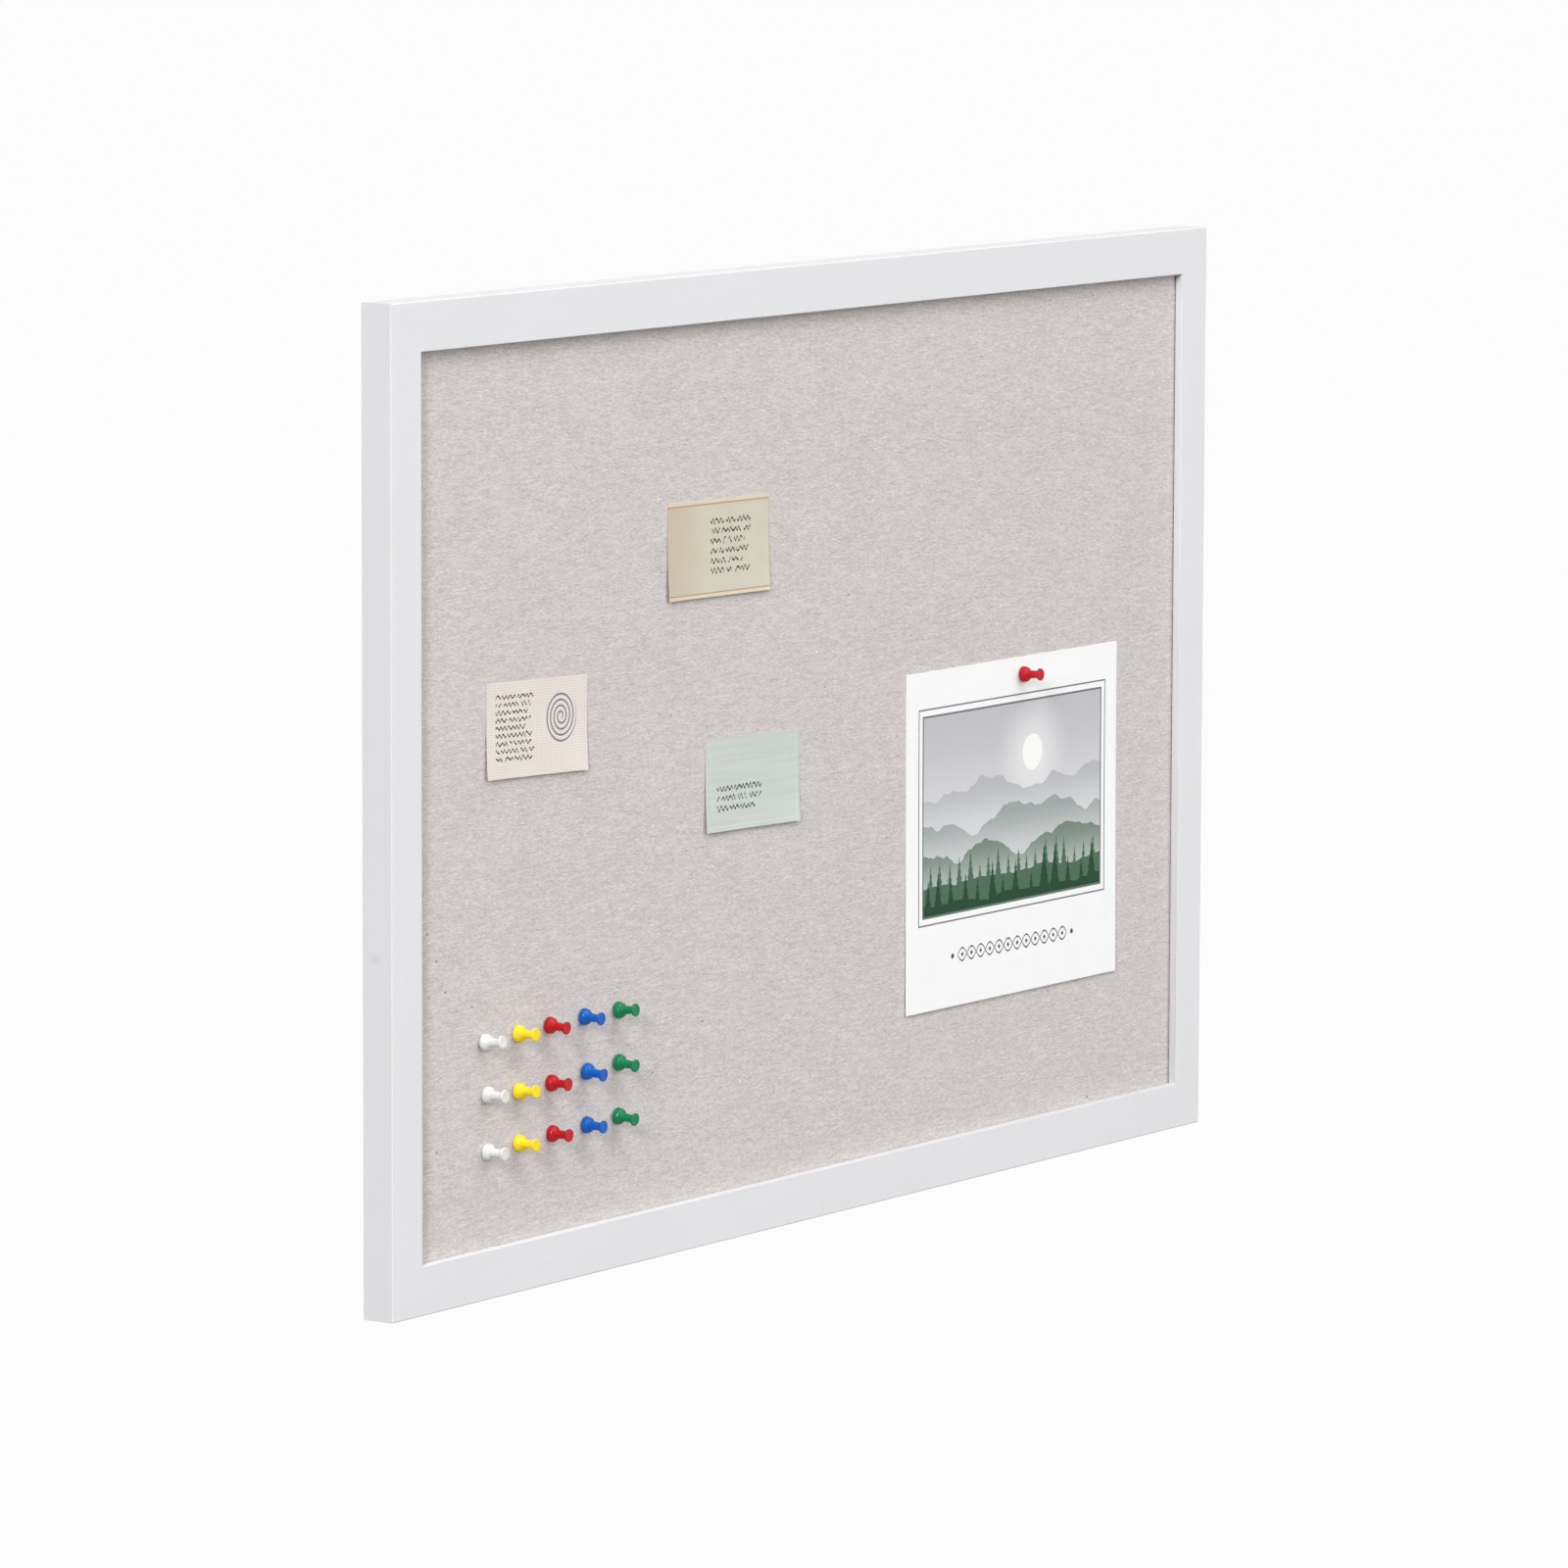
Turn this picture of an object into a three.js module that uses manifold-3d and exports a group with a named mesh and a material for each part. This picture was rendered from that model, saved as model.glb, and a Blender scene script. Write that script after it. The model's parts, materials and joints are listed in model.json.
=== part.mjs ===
// Framed fabric bulletin board that hangs on a wall, with push pins, paper notes and a pinned card.
// Millimetres. X runs to the right, Y towards the wall, Z up. The origin is the centre of the wall plane.

import * as THREE from 'three';
import { mergeVertices } from 'three/addons/utils/BufferGeometryUtils.js';
import Module from 'manifold-3d';

const wasm = await Module();
wasm.setup();

// Outside of the frame
const BOARD_WIDTH = 914;
const BOARD_HEIGHT = 610;

// Frame moulding: a flat face with a lip in front of a rabbet, mitred at the corners
const FACE_WIDTH = 30.5;
const RABBET_WIDTH = 8;
const LIP_DEPTH = 5;
const EDGE_ROUND = 0.8;
const MITRE_GAP = 0.15;

// What the rabbet holds, from the lip to the wall
const LIP_GAP = 0.8;
const LINEN_THICKNESS = 0.6;
const LINEN_TURN = 26;
const PANEL_THICKNESS = 10;
const BACKING_THICKNESS = 2.4;
const POINT_THICKNESS = 0.6;
const BACK_RECESS = 1.6;
const EDGE_CLEARANCE = 0.8;
const SEAT_GAP = 0.1;
const SOCKET_CLEARANCE = 0.3;

// Flexible steel points that hold the backing in the rabbet
const POINT_WIDTH = 7;
const POINT_BITE = 8;
const POINT_TIP = 3;
const POINT_SHOW = 8;
const POINT_FROM_CORNER = 150;

// Angled steel nails across the back of each mitre
const NAIL_LEG = 6.5;
const NAIL_THICKNESS = 0.8;
const NAIL_LENGTH = 7;
const NAIL_INSET = 8.5;
const NAIL_RECESS = 0.3;

// Hangers: a folded strap, a screw and a ring of bent wire on each stile, close to the rabbet
const HANGER_FROM_TOP = 150;
const HANGER_FROM_RABBET = 0.5;
const STRAP_WIDTH = 12;
const STRAP_DROP = 17;
const STRAP_SHEET = 0.9;
const RING_WIRE = 2.4;
const RING_INSIDE = 15.2;
const RING_REACH = 14;
const RING_CORNER = 2.4;
const RING_BUTT_GAP = 0.5;
const SCREW_DROP = 8.5;
const SCREW_HEAD = 6.2;
const SCREW_HEAD_HEIGHT = 1.8;
const SCREW_HEAD_RIM = 0.6;
const SCREW_SHANK = 2.8;
const SCREW_LENGTH = 13;
const SCREW_POINT = 3.5;

// Push pins: a turned plastic head on a steel needle
const PIN_LENGTH = 14.3;
const PIN_FLANGE = 10.6;
const PIN_FLANGE_RIM = 1;
const PIN_DOME = 3.7;
const PIN_WAIST = 5.5;
const PIN_NECK = 5.1;
const PIN_CAP = 8.1;
const PIN_CAP_RIM = 0.8;
const PIN_CAP_FLARE = 3.2;
const PIN_EDGE_ROUND = 0.5;
const NEEDLE_DIAMETER = 1.1;
const NEEDLE_REACH = 9.2;
const NEEDLE_POINT = 2.2;
const NEEDLE_SOCKET = 6;
const NEEDLE_FIT = 0.1;
const PIN_SEAT = 0.3;

// Pins: columns from the left edge of the linen, rows from its lower edge, how far each pin was
// pushed in to the right of its column and above its row, and how far it leans down
const PIN_COLOURS = ['white', 'yellow', 'red', 'blue', 'green'];
const PIN_COLUMNS = [72, 103.5, 137.5, 174, 208];
const PIN_ROWS = [126.5, 93.5, 59.5];
const PIN_ROW_RISE = 0.7;
const PIN_SHIFTS_RIGHT = [
  [-3, 0, -2, -2, 0],
  [0, 0, 0, 0, 0],
  [0, 0.5, 1, 0.5, -0.5],
];
const PIN_SHIFTS_UP = [
  [0, 0.5, 1, 1, 0],
  [0.5, -2, -2, 0, 0.5],
  [-0.5, 0, 0.5, 0.5, 1],
];
const PIN_LEANS = [
  [-6, -2, 3, 1, -5],
  [-1, -5, -1, 6, 5],
  [0, 0, 0, 1, 5],
];

// Card: its margins to the right and lower edges of the linen, and the pin that it hangs on
const CARD_WIDTH = 253;
const CARD_HEIGHT = 222;
const CARD_THICKNESS = 0.5;
const CARD_RIGHT_MARGIN = 70.6;
const CARD_BOTTOM_MARGIN = 85.6;
const CARD_PIN_DROP = 11.5;
const CARD_PIN_OFFSET = 10.4;
const CARD_PIN_LEAN = -3;

// Self-stick notes: stuck along the top, with the lower edge standing off the linen
const NOTE_THICKNESS = 0.3;
const NOTE_CURL = 1.4;
const KRAFT_NOTE_WIDTH = 110;
const KRAFT_NOTE_HEIGHT = 61;
const KRAFT_NOTE_X = -110;
const KRAFT_NOTE_TOP = 163.9;
const GRID_NOTE_WIDTH = 103.5;
const GRID_NOTE_HEIGHT = 58.7;
const GRID_NOTE_LEFT_MARGIN = 124.4;
const GRID_NOTE_TOP = 68.3;
const MINT_NOTE_WIDTH = 103;
const MINT_NOTE_HEIGHT = 58.8;
const MINT_NOTE_X = -71.7;
const MINT_NOTE_TOP = 12.2;
const NOTES = [
  {
    name: 'kraft_note', colour: 0xcdc8b4, width: KRAFT_NOTE_WIDTH, height: KRAFT_NOTE_HEIGHT,
    x: KRAFT_NOTE_X, z: KRAFT_NOTE_TOP, roll: 0.7,
  },
  {
    name: 'grid_note', colour: 0xf0e8de, width: GRID_NOTE_WIDTH, height: GRID_NOTE_HEIGHT,
    x: GRID_NOTE_LEFT_MARGIN + FACE_WIDTH - BOARD_WIDTH / 2, z: GRID_NOTE_TOP, roll: 1.9,
  },
  {
    name: 'mint_note', colour: 0xcddeda, width: MINT_NOTE_WIDTH, height: MINT_NOTE_HEIGHT,
    x: MINT_NOTE_X, z: MINT_NOTE_TOP, roll: 1.3,
  },
];

const ROUND_SIDES = 16;
const NEEDLE_SIDES = 8;
const EDGE_STEPS = 3;
const RING_STEPS = 40;

const PAINT = { color: 0xf1f1ee, roughness: 0.5, metalness: 0 };
const LINEN = { color: 0xcfc6c1, roughness: 0.95, metalness: 0 };
const FIBREBOARD = { color: 0xb59a72, roughness: 0.95, metalness: 0 };
const HARDBOARD = { color: 0x7d5a3c, roughness: 0.8, metalness: 0 };
const STEEL = { color: 0xc9ccd0, roughness: 0.35, metalness: 1 };
const CARD = { color: 0xf7f7f5, roughness: 0.8, metalness: 0 };
const PIN_PAINTS = { white: 0xf1f0ec, yellow: 0xf0c808, red: 0xd81420, blue: 0x1c4fc4, green: 0x0f8a3c };

// The stack in the rabbet sets the depth of the frame
const LINEN_STACK = 2 * LINEN_THICKNESS + PANEL_THICKNESS + 2 * SEAT_GAP;
const RABBET_STACK = LIP_GAP + LINEN_STACK + BACKING_THICKNESS + POINT_THICKNESS + 2 * SEAT_GAP;
const FRAME_DEPTH = LIP_DEPTH + RABBET_STACK + BACK_RECESS;
const WALL_WIDTH = FACE_WIDTH - RABBET_WIDTH;

// Planes that the stack and the things on the linen share
const LINEN_FRONT = LIP_DEPTH - FRAME_DEPTH + LIP_GAP;
const LINEN_BACK = LINEN_FRONT + LINEN_STACK;
const BACKING_BACK = LINEN_BACK + SEAT_GAP + BACKING_THICKNESS;
const POINT_BACK = BACKING_BACK + SEAT_GAP + POINT_THICKNESS;
const SIGHT_RIGHT = BOARD_WIDTH / 2 - FACE_WIDTH;
const SIGHT_BOTTOM = FACE_WIDTH - BOARD_HEIGHT / 2;
const INSERT_WIDTH = BOARD_WIDTH - 2 * (WALL_WIDTH + EDGE_CLEARANCE);
const INSERT_HEIGHT = BOARD_HEIGHT - 2 * (WALL_WIDTH + EDGE_CLEARANCE);

const RIGHT_TURN = Math.PI / 2;
const QUARTER_TURNS = { bottom: 0, right: -RIGHT_TURN, top: Math.PI, left: RIGHT_TURN };
const OVERSHOOT = 1;

const board = new THREE.Group();
board.name = 'fabric_bulletin_board';

// A mesh with a material of its own, added to a group
function addPiece(parent, name, geometry, finish) {
  const mesh = new THREE.Mesh(geometry, new THREE.MeshStandardMaterial(finish));
  mesh.name = name;
  parent.add(mesh);
}

function solidOf(geometry) {
  const bare = geometry.clone();
  bare.deleteAttribute('normal');
  bare.deleteAttribute('uv');
  const welded = mergeVertices(bare);
  return new wasm.Manifold(new wasm.Mesh({
    numProp: 3,
    vertProperties: new Float32Array(welded.attributes.position.array),
    triVerts: new Uint32Array(welded.index.array),
  }));
}

function geometryOf(solid) {
  const mesh = solid.getMesh();
  const geometry = new THREE.BufferGeometry();
  geometry.setAttribute('position', new THREE.BufferAttribute(mesh.vertProperties, 3));
  geometry.setIndex(new THREE.BufferAttribute(mesh.triVerts, 1));
  geometry.computeVertexNormals();
  return geometry;
}

function carve(geometry, cutters) {
  let solid = solidOf(geometry);
  for (const cutter of cutters) {
    solid = solid.subtract(solidOf(cutter));
  }
  return geometryOf(solid);
}

// An outline drawn in X and Z, extruded from a plane at backY towards the front
function plate(outline, backY, thickness, curveSegments = EDGE_STEPS) {
  const options = { depth: thickness, bevelEnabled: false, curveSegments };
  const geometry = new THREE.ExtrudeGeometry(outline, options);
  geometry.rotateX(RIGHT_TURN);
  geometry.translate(0, backY, 0);
  return geometry;
}

// An outline drawn in Y and Z, extruded along X and centred on it
function bar(outline, width, curveSegments) {
  const geometry = new THREE.ExtrudeGeometry(outline, { depth: width, bevelEnabled: false, curveSegments });
  const across = new THREE.Matrix4().makeBasis(
    new THREE.Vector3(0, 1, 0),
    new THREE.Vector3(0, 0, 1),
    new THREE.Vector3(1, 0, 0),
  );
  geometry.applyMatrix4(across);
  geometry.translate(-width / 2, 0, 0);
  return geometry;
}

function box(width, depth, height, y) {
  const geometry = new THREE.BoxGeometry(width, depth, height);
  geometry.translate(0, y, 0);
  return geometry;
}

function polygon(points) {
  return new THREE.Shape(points.map(([x, z]) => new THREE.Vector2(x, z)));
}

function turned(points, sides) {
  return new THREE.LatheGeometry(points.map(([radius, height]) => new THREE.Vector2(radius, height)), sides);
}

// Profile of a rounded shoulder, from its outer radius at the foot to its inner radius at the top
function dome(inner, outer, foot, height) {
  const points = [];
  for (let step = 0; step <= EDGE_STEPS; step += 1) {
    const angle = RIGHT_TURN * (step / EDGE_STEPS);
    const radius = step === EDGE_STEPS ? inner : inner + (outer - inner) * Math.cos(angle);
    points.push([radius, foot + height * Math.sin(angle)]);
  }
  return points;
}

// Profile of a hollow flare, from its inner radius at the foot to its outer radius at the top
function flare(inner, outer, foot, height) {
  return dome(inner, outer, 0, height).map(([radius, rise]) => [inner + outer - radius, foot + rise]);
}

// A side of the board is drawn as the bottom one and turned about Y to its place
function sideSizes(side) {
  const upright = side === 'left' || side === 'right';
  return upright ? [BOARD_HEIGHT, BOARD_WIDTH] : [BOARD_WIDTH, BOARD_HEIGHT];
}

// Frame moulding: section from the outer edge inwards and from the wall forwards
function mouldingSection() {
  const front = FRAME_DEPTH - EDGE_ROUND;
  const section = new THREE.Shape();
  section.moveTo(EDGE_ROUND, 0);
  section.lineTo(WALL_WIDTH, 0);
  section.lineTo(WALL_WIDTH, FRAME_DEPTH - LIP_DEPTH);
  section.lineTo(FACE_WIDTH, FRAME_DEPTH - LIP_DEPTH);
  section.lineTo(FACE_WIDTH, front);
  section.absarc(FACE_WIDTH - EDGE_ROUND, front, EDGE_ROUND, 0, RIGHT_TURN);
  section.lineTo(EDGE_ROUND, FRAME_DEPTH);
  section.absarc(EDGE_ROUND, front, EDGE_ROUND, RIGHT_TURN, Math.PI);
  section.lineTo(0, EDGE_ROUND);
  section.absarc(EDGE_ROUND, EDGE_ROUND, EDGE_ROUND, Math.PI, 3 * RIGHT_TURN);
  return section;
}

function mouldingGeometry(side) {
  const [length, across] = sideSizes(side);
  const geometry = new THREE.ExtrudeGeometry(mouldingSection(), {
    depth: length, bevelEnabled: false, curveSegments: EDGE_STEPS,
  });
  const place = geometry.attributes.position;
  const setback = MITRE_GAP / Math.SQRT2;
  for (let i = 0; i < place.count; i += 1) {
    const inset = place.getX(i) + setback;
    const nearStart = place.getZ(i) < length / 2;
    place.setZ(i, nearStart ? inset : length - inset);
  }
  const lying = new THREE.Matrix4().makeBasis(
    new THREE.Vector3(0, 0, 1),
    new THREE.Vector3(0, -1, 0),
    new THREE.Vector3(1, 0, 0),
  );
  lying.setPosition(-length / 2, 0, -across / 2);
  geometry.applyMatrix4(lying);
  geometry.rotateY(QUARTER_TURNS[side]);
  return geometry;
}

// Corner nail: an angle strip whose corner lies on the mitre, grown by a clearance for its slot
function cornerNail(signX, signZ, grow) {
  const half = NAIL_THICKNESS / 2 + grow;
  const leg = NAIL_LEG + grow;
  const cornerX = signX * (BOARD_WIDTH / 2 - NAIL_INSET);
  const cornerZ = signZ * (BOARD_HEIGHT / 2 - NAIL_INSET);
  const angle = [[-half, -half], [leg, -half], [leg, half], [half, half], [half, leg], [-half, leg]];
  const outline = polygon(angle.map(([x, z]) => [cornerX - signX * x, cornerZ - signZ * z]));
  const opening = grow > 0 ? NAIL_RECESS + OVERSHOOT : 0;
  return plate(outline, opening - NAIL_RECESS, NAIL_LENGTH + grow + opening);
}

// Flexible point: a strip with a sharp end in the rabbet wall, grown by a clearance for its slot
function flexPoint(side, along, grow) {
  const across = sideSizes(side)[1];
  const wall = WALL_WIDTH - across / 2;
  const half = POINT_WIDTH / 2 + grow;
  const tip = wall - POINT_BITE - grow;
  const shoulder = tip + POINT_TIP;
  const inner = wall + POINT_SHOW;
  const outline = polygon([
    [along - half, inner], [along - half, shoulder], [along, tip],
    [along + half, shoulder], [along + half, inner],
  ]);
  const geometry = plate(outline, POINT_BACK + grow, POINT_THICKNESS + 2 * grow);
  geometry.rotateY(QUARTER_TURNS[side]);
  return geometry;
}

const NAILS = [
  { name: 'corner_nail_top_left', sides: ['top', 'left'], signX: -1, signZ: 1 },
  { name: 'corner_nail_top_right', sides: ['top', 'right'], signX: 1, signZ: 1 },
  { name: 'corner_nail_bottom_left', sides: ['bottom', 'left'], signX: -1, signZ: -1 },
  { name: 'corner_nail_bottom_right', sides: ['bottom', 'right'], signX: 1, signZ: -1 },
];
const POINT_ALONG = BOARD_WIDTH / 2 - POINT_FROM_CORNER;
const POINTS = [
  { name: 'flex_point_top_left', side: 'top', along: POINT_ALONG },
  { name: 'flex_point_top_right', side: 'top', along: -POINT_ALONG },
  { name: 'flex_point_bottom_left', side: 'bottom', along: -POINT_ALONG },
  { name: 'flex_point_bottom_right', side: 'bottom', along: POINT_ALONG },
  { name: 'flex_point_left', side: 'left', along: 0 },
  { name: 'flex_point_right', side: 'right', along: 0 },
];

// Hangers: the axis of the ring stands off the back of the stile by the radius of the folded loop
const LOOP_BORE = RING_WIRE / 2 + SOCKET_CLEARANCE;
const LOOP_RADIUS = LOOP_BORE + STRAP_SHEET;
const RING_HALF = (RING_INSIDE + RING_WIRE) / 2;
const BOW_START = RING_REACH - RING_HALF;
const HANGER_Z = BOARD_HEIGHT / 2 - HANGER_FROM_TOP;
const HANGER_Y = SEAT_GAP + LOOP_RADIUS;
const STRAP_FACE = 2 * STRAP_SHEET - LOOP_RADIUS;
const HANGER_X = SIGHT_RIGHT + RABBET_WIDTH + HANGER_FROM_RABBET + STRAP_WIDTH / 2;
const HANGERS = [
  { side: 'left', x: -HANGER_X },
  { side: 'right', x: HANGER_X },
];

function strapGeometry() {
  const meet = Math.asin(STRAP_FACE / LOOP_RADIUS) - RIGHT_TURN;
  const section = new THREE.Shape();
  section.moveTo(-LOOP_RADIUS, -STRAP_DROP);
  section.lineTo(STRAP_FACE, -STRAP_DROP);
  section.absarc(0, 0, LOOP_RADIUS, meet, Math.PI);
  section.holes.push(new THREE.Path().absarc(0, 0, LOOP_BORE, 0, 2 * Math.PI, true));

  const half = STRAP_WIDTH / 2;
  const tongue = new THREE.Shape();
  tongue.moveTo(half, LOOP_RADIUS + OVERSHOOT);
  tongue.lineTo(-half, LOOP_RADIUS + OVERSHOOT);
  tongue.absarc(0, half - STRAP_DROP, half, Math.PI, 2 * Math.PI);

  const reach = LOOP_RADIUS + OVERSHOOT;
  const folded = solidOf(bar(section, STRAP_WIDTH + 2 * OVERSHOOT, ROUND_SIDES / 2));
  const rounded = solidOf(plate(tongue, reach, 2 * reach, ROUND_SIDES / 2));
  const hole = new THREE.CylinderGeometry(
    SCREW_SHANK / 2 + SOCKET_CLEARANCE, SCREW_SHANK / 2 + SOCKET_CLEARANCE, 2 * reach, ROUND_SIDES,
  );
  hole.translate(0, 0, -SCREW_DROP);
  return geometryOf(folded.intersect(rounded).subtract(solidOf(hole)));
}

// A flat path of lines and arcs, stood up in X and Z
class UprightPath extends THREE.Curve {
  constructor(path) {
    super();
    this.path = path;
  }

  getPoint(t, target = new THREE.Vector3()) {
    const flat = this.path.getPoint(t);
    return target.set(flat.x, 0, flat.y);
  }
}

// The ring hangs from its straight bar, with its bow against the strap
function ringHang() {
  const crossing = BOW_START + Math.sqrt(RING_HALF ** 2 - (STRAP_WIDTH / 2) ** 2);
  return Math.PI + Math.asin((RING_WIRE / 2 + STRAP_FACE + SOCKET_CLEARANCE) / crossing);
}

function ringGeometry() {
  const corner = RING_HALF - RING_CORNER;
  const path = new THREE.Path();
  path.moveTo(RING_BUTT_GAP / 2, 0);
  path.lineTo(corner, 0);
  path.absarc(corner, RING_CORNER, RING_CORNER, -RIGHT_TURN, 0);
  path.absarc(0, BOW_START, RING_HALF, 0, Math.PI);
  path.absarc(-corner, RING_CORNER, RING_CORNER, Math.PI, 3 * RIGHT_TURN);
  path.lineTo(-RING_BUTT_GAP / 2, 0);
  const wire = new THREE.Shape().absarc(0, 0, RING_WIRE / 2, 0, 2 * Math.PI);
  return new THREE.ExtrudeGeometry(wire, {
    steps: RING_STEPS,
    bevelEnabled: false,
    curveSegments: NEEDLE_SIDES / 2,
    extrudePath: new UprightPath(path),
  });
}

function screwGeometry() {
  const shank = SCREW_SHANK / 2;
  const head = SCREW_HEAD / 2;
  return turned([
    [0, -SCREW_LENGTH], [shank, SCREW_POINT - SCREW_LENGTH], [shank, 0], [head, 0],
    ...dome(0, head, SCREW_HEAD_RIM, SCREW_HEAD_HEIGHT - SCREW_HEAD_RIM),
  ], ROUND_SIDES);
}

const SCREW_Y = HANGER_Y + STRAP_FACE + SEAT_GAP;

function screwPilot(hanger) {
  const radius = SCREW_SHANK / 2 + SOCKET_CLEARANCE;
  const length = SCREW_LENGTH - SCREW_Y + SOCKET_CLEARANCE + OVERSHOOT;
  const geometry = new THREE.CylinderGeometry(radius, radius, length, ROUND_SIDES);
  geometry.translate(hanger.x, OVERSHOOT - length / 2, HANGER_Z - SCREW_DROP);
  return geometry;
}

function addFrame() {
  const names = { top: 'top_rail', bottom: 'bottom_rail', left: 'left_stile', right: 'right_stile' };
  for (const [side, name] of Object.entries(names)) {
    const cutters = [
      ...NAILS.filter((nail) => nail.sides.includes(side))
        .map((nail) => cornerNail(nail.signX, nail.signZ, SOCKET_CLEARANCE)),
      ...POINTS.filter((point) => point.side === side)
        .map((point) => flexPoint(side, point.along, SOCKET_CLEARANCE)),
      ...HANGERS.filter((hanger) => hanger.side === side).map(screwPilot),
    ];
    addPiece(board, name, carve(mouldingGeometry(side), cutters), PAINT);
  }
}

function addFrameHardware() {
  for (const { name, signX, signZ } of NAILS) {
    addPiece(board, name, cornerNail(signX, signZ, 0), STEEL);
  }
  for (const { name, side, along } of POINTS) {
    addPiece(board, name, flexPoint(side, along, 0), STEEL);
  }
  for (const { side, x } of HANGERS) {
    const hanger = new THREE.Group();
    hanger.position.set(x, HANGER_Y, HANGER_Z);
    addPiece(hanger, `hanger_strap_${side}`, strapGeometry(), STEEL);
    const ring = new THREE.Group();
    ring.rotation.x = ringHang();
    addPiece(ring, `hanger_ring_${side}`, ringGeometry(), STEEL);
    const screw = new THREE.Group();
    screw.position.set(0, SCREW_Y - HANGER_Y, -SCREW_DROP);
    addPiece(screw, `hanger_screw_${side}`, screwGeometry(), STEEL);
    hanger.add(ring, screw);
    board.add(hanger);
  }
}

// Push pins: the local Y axis points out of the board, from the foot of the flange
function pinHeadGeometry() {
  const flange = PIN_FLANGE / 2;
  const cap = PIN_CAP / 2;
  const socket = NEEDLE_DIAMETER / 2 + NEEDLE_FIT;
  const capFoot = PIN_LENGTH - PIN_CAP_RIM - PIN_EDGE_ROUND;
  return turned([
    [0, NEEDLE_SOCKET],
    [socket, NEEDLE_SOCKET],
    [socket, 0],
    [flange - PIN_EDGE_ROUND, 0],
    [flange, PIN_EDGE_ROUND],
    ...dome(PIN_WAIST / 2, flange, PIN_FLANGE_RIM, PIN_DOME),
    ...flare(PIN_NECK / 2, cap, capFoot - PIN_CAP_FLARE, PIN_CAP_FLARE),
    [cap, capFoot + PIN_CAP_RIM],
    [cap - PIN_EDGE_ROUND, PIN_LENGTH],
    [0, PIN_LENGTH],
  ], ROUND_SIDES);
}

function needleGeometry() {
  const radius = NEEDLE_DIAMETER / 2;
  return turned([
    [0, -NEEDLE_REACH], [radius, NEEDLE_POINT - NEEDLE_REACH],
    [radius, NEEDLE_SOCKET - NEEDLE_FIT], [0, NEEDLE_SOCKET - NEEDLE_FIT],
  ], NEEDLE_SIDES);
}

// Where a pin stands: its foot lifts with its lean until the low side of the flange clears what it holds
function pinPlace(x, z, lean, surface) {
  const angle = THREE.MathUtils.degToRad(lean);
  const lift = PIN_SEAT + (PIN_FLANGE / 2) * Math.sin(Math.abs(angle));
  const place = new THREE.Group();
  place.position.set(x, surface - lift, z);
  place.rotation.x = Math.PI + angle;
  place.updateMatrix();
  return place;
}

function needleHole(place) {
  const radius = NEEDLE_DIAMETER / 2 + SOCKET_CLEARANCE;
  const length = NEEDLE_REACH + SOCKET_CLEARANCE;
  const geometry = new THREE.CylinderGeometry(radius, radius, length, NEEDLE_SIDES);
  geometry.translate(0, -length / 2, 0);
  geometry.applyMatrix4(place.matrix);
  return geometry;
}

const CARD_PIN_X = SIGHT_RIGHT - CARD_RIGHT_MARGIN - CARD_WIDTH / 2 + CARD_PIN_OFFSET;
const CARD_PIN_Z = SIGHT_BOTTOM + CARD_BOTTOM_MARGIN + CARD_HEIGHT - CARD_PIN_DROP;
const CARD_BACK = LINEN_FRONT - SEAT_GAP;

function pinList() {
  const pins = [];
  PIN_ROWS.forEach((row, r) => {
    PIN_COLUMNS.forEach((column, c) => {
      const x = column + PIN_SHIFTS_RIGHT[r][c] - SIGHT_RIGHT;
      const z = SIGHT_BOTTOM + row + c * PIN_ROW_RISE + PIN_SHIFTS_UP[r][c];
      const colour = PIN_COLOURS[c];
      const place = pinPlace(x, z, PIN_LEANS[r][c], LINEN_FRONT);
      pins.push({ name: `${colour}_pin_${r + 1}`, colour, place });
    });
  });
  const cardPin = pinPlace(CARD_PIN_X, CARD_PIN_Z, CARD_PIN_LEAN, CARD_BACK - CARD_THICKNESS);
  pins.push({ name: 'card_pin', colour: 'red', place: cardPin });
  return pins;
}

function addPins(pins) {
  for (const { name, colour, place } of pins) {
    const plastic = { color: PIN_PAINTS[colour], roughness: 0.22, metalness: 0 };
    addPiece(place, `${name}_head`, pinHeadGeometry(), plastic);
    addPiece(place, `${name}_needle`, needleGeometry(), STEEL);
    board.add(place);
  }
}

// The linen goes round the edges of the panel and is turned over its back
function addPanel(pins) {
  const wrap = LINEN_THICKNESS + SEAT_GAP;
  const panelWidth = INSERT_WIDTH - 2 * wrap;
  const panelHeight = INSERT_HEIGHT - 2 * wrap;
  const middle = (LINEN_FRONT + LINEN_BACK) / 2;
  const holes = pins.map(({ place }) => needleHole(place));

  const panel = box(panelWidth, PANEL_THICKNESS, panelHeight, middle);
  addPiece(board, 'pin_panel', carve(panel, holes), FIBREBOARD);

  const linen = box(INSERT_WIDTH, LINEN_STACK, INSERT_HEIGHT, middle);
  const inside = box(INSERT_WIDTH - 2 * LINEN_THICKNESS, PANEL_THICKNESS + 2 * SEAT_GAP,
    INSERT_HEIGHT - 2 * LINEN_THICKNESS, middle);
  const behind = box(INSERT_WIDTH - 2 * LINEN_TURN, LINEN_STACK, INSERT_HEIGHT - 2 * LINEN_TURN,
    middle + LINEN_STACK / 2);
  addPiece(board, 'linen_cover', carve(linen, [inside, behind, ...holes]), LINEN);

  const backing = box(INSERT_WIDTH, BACKING_THICKNESS, INSERT_HEIGHT, BACKING_BACK - BACKING_THICKNESS / 2);
  addPiece(board, 'backing_board', backing, HARDBOARD);
}

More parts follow.
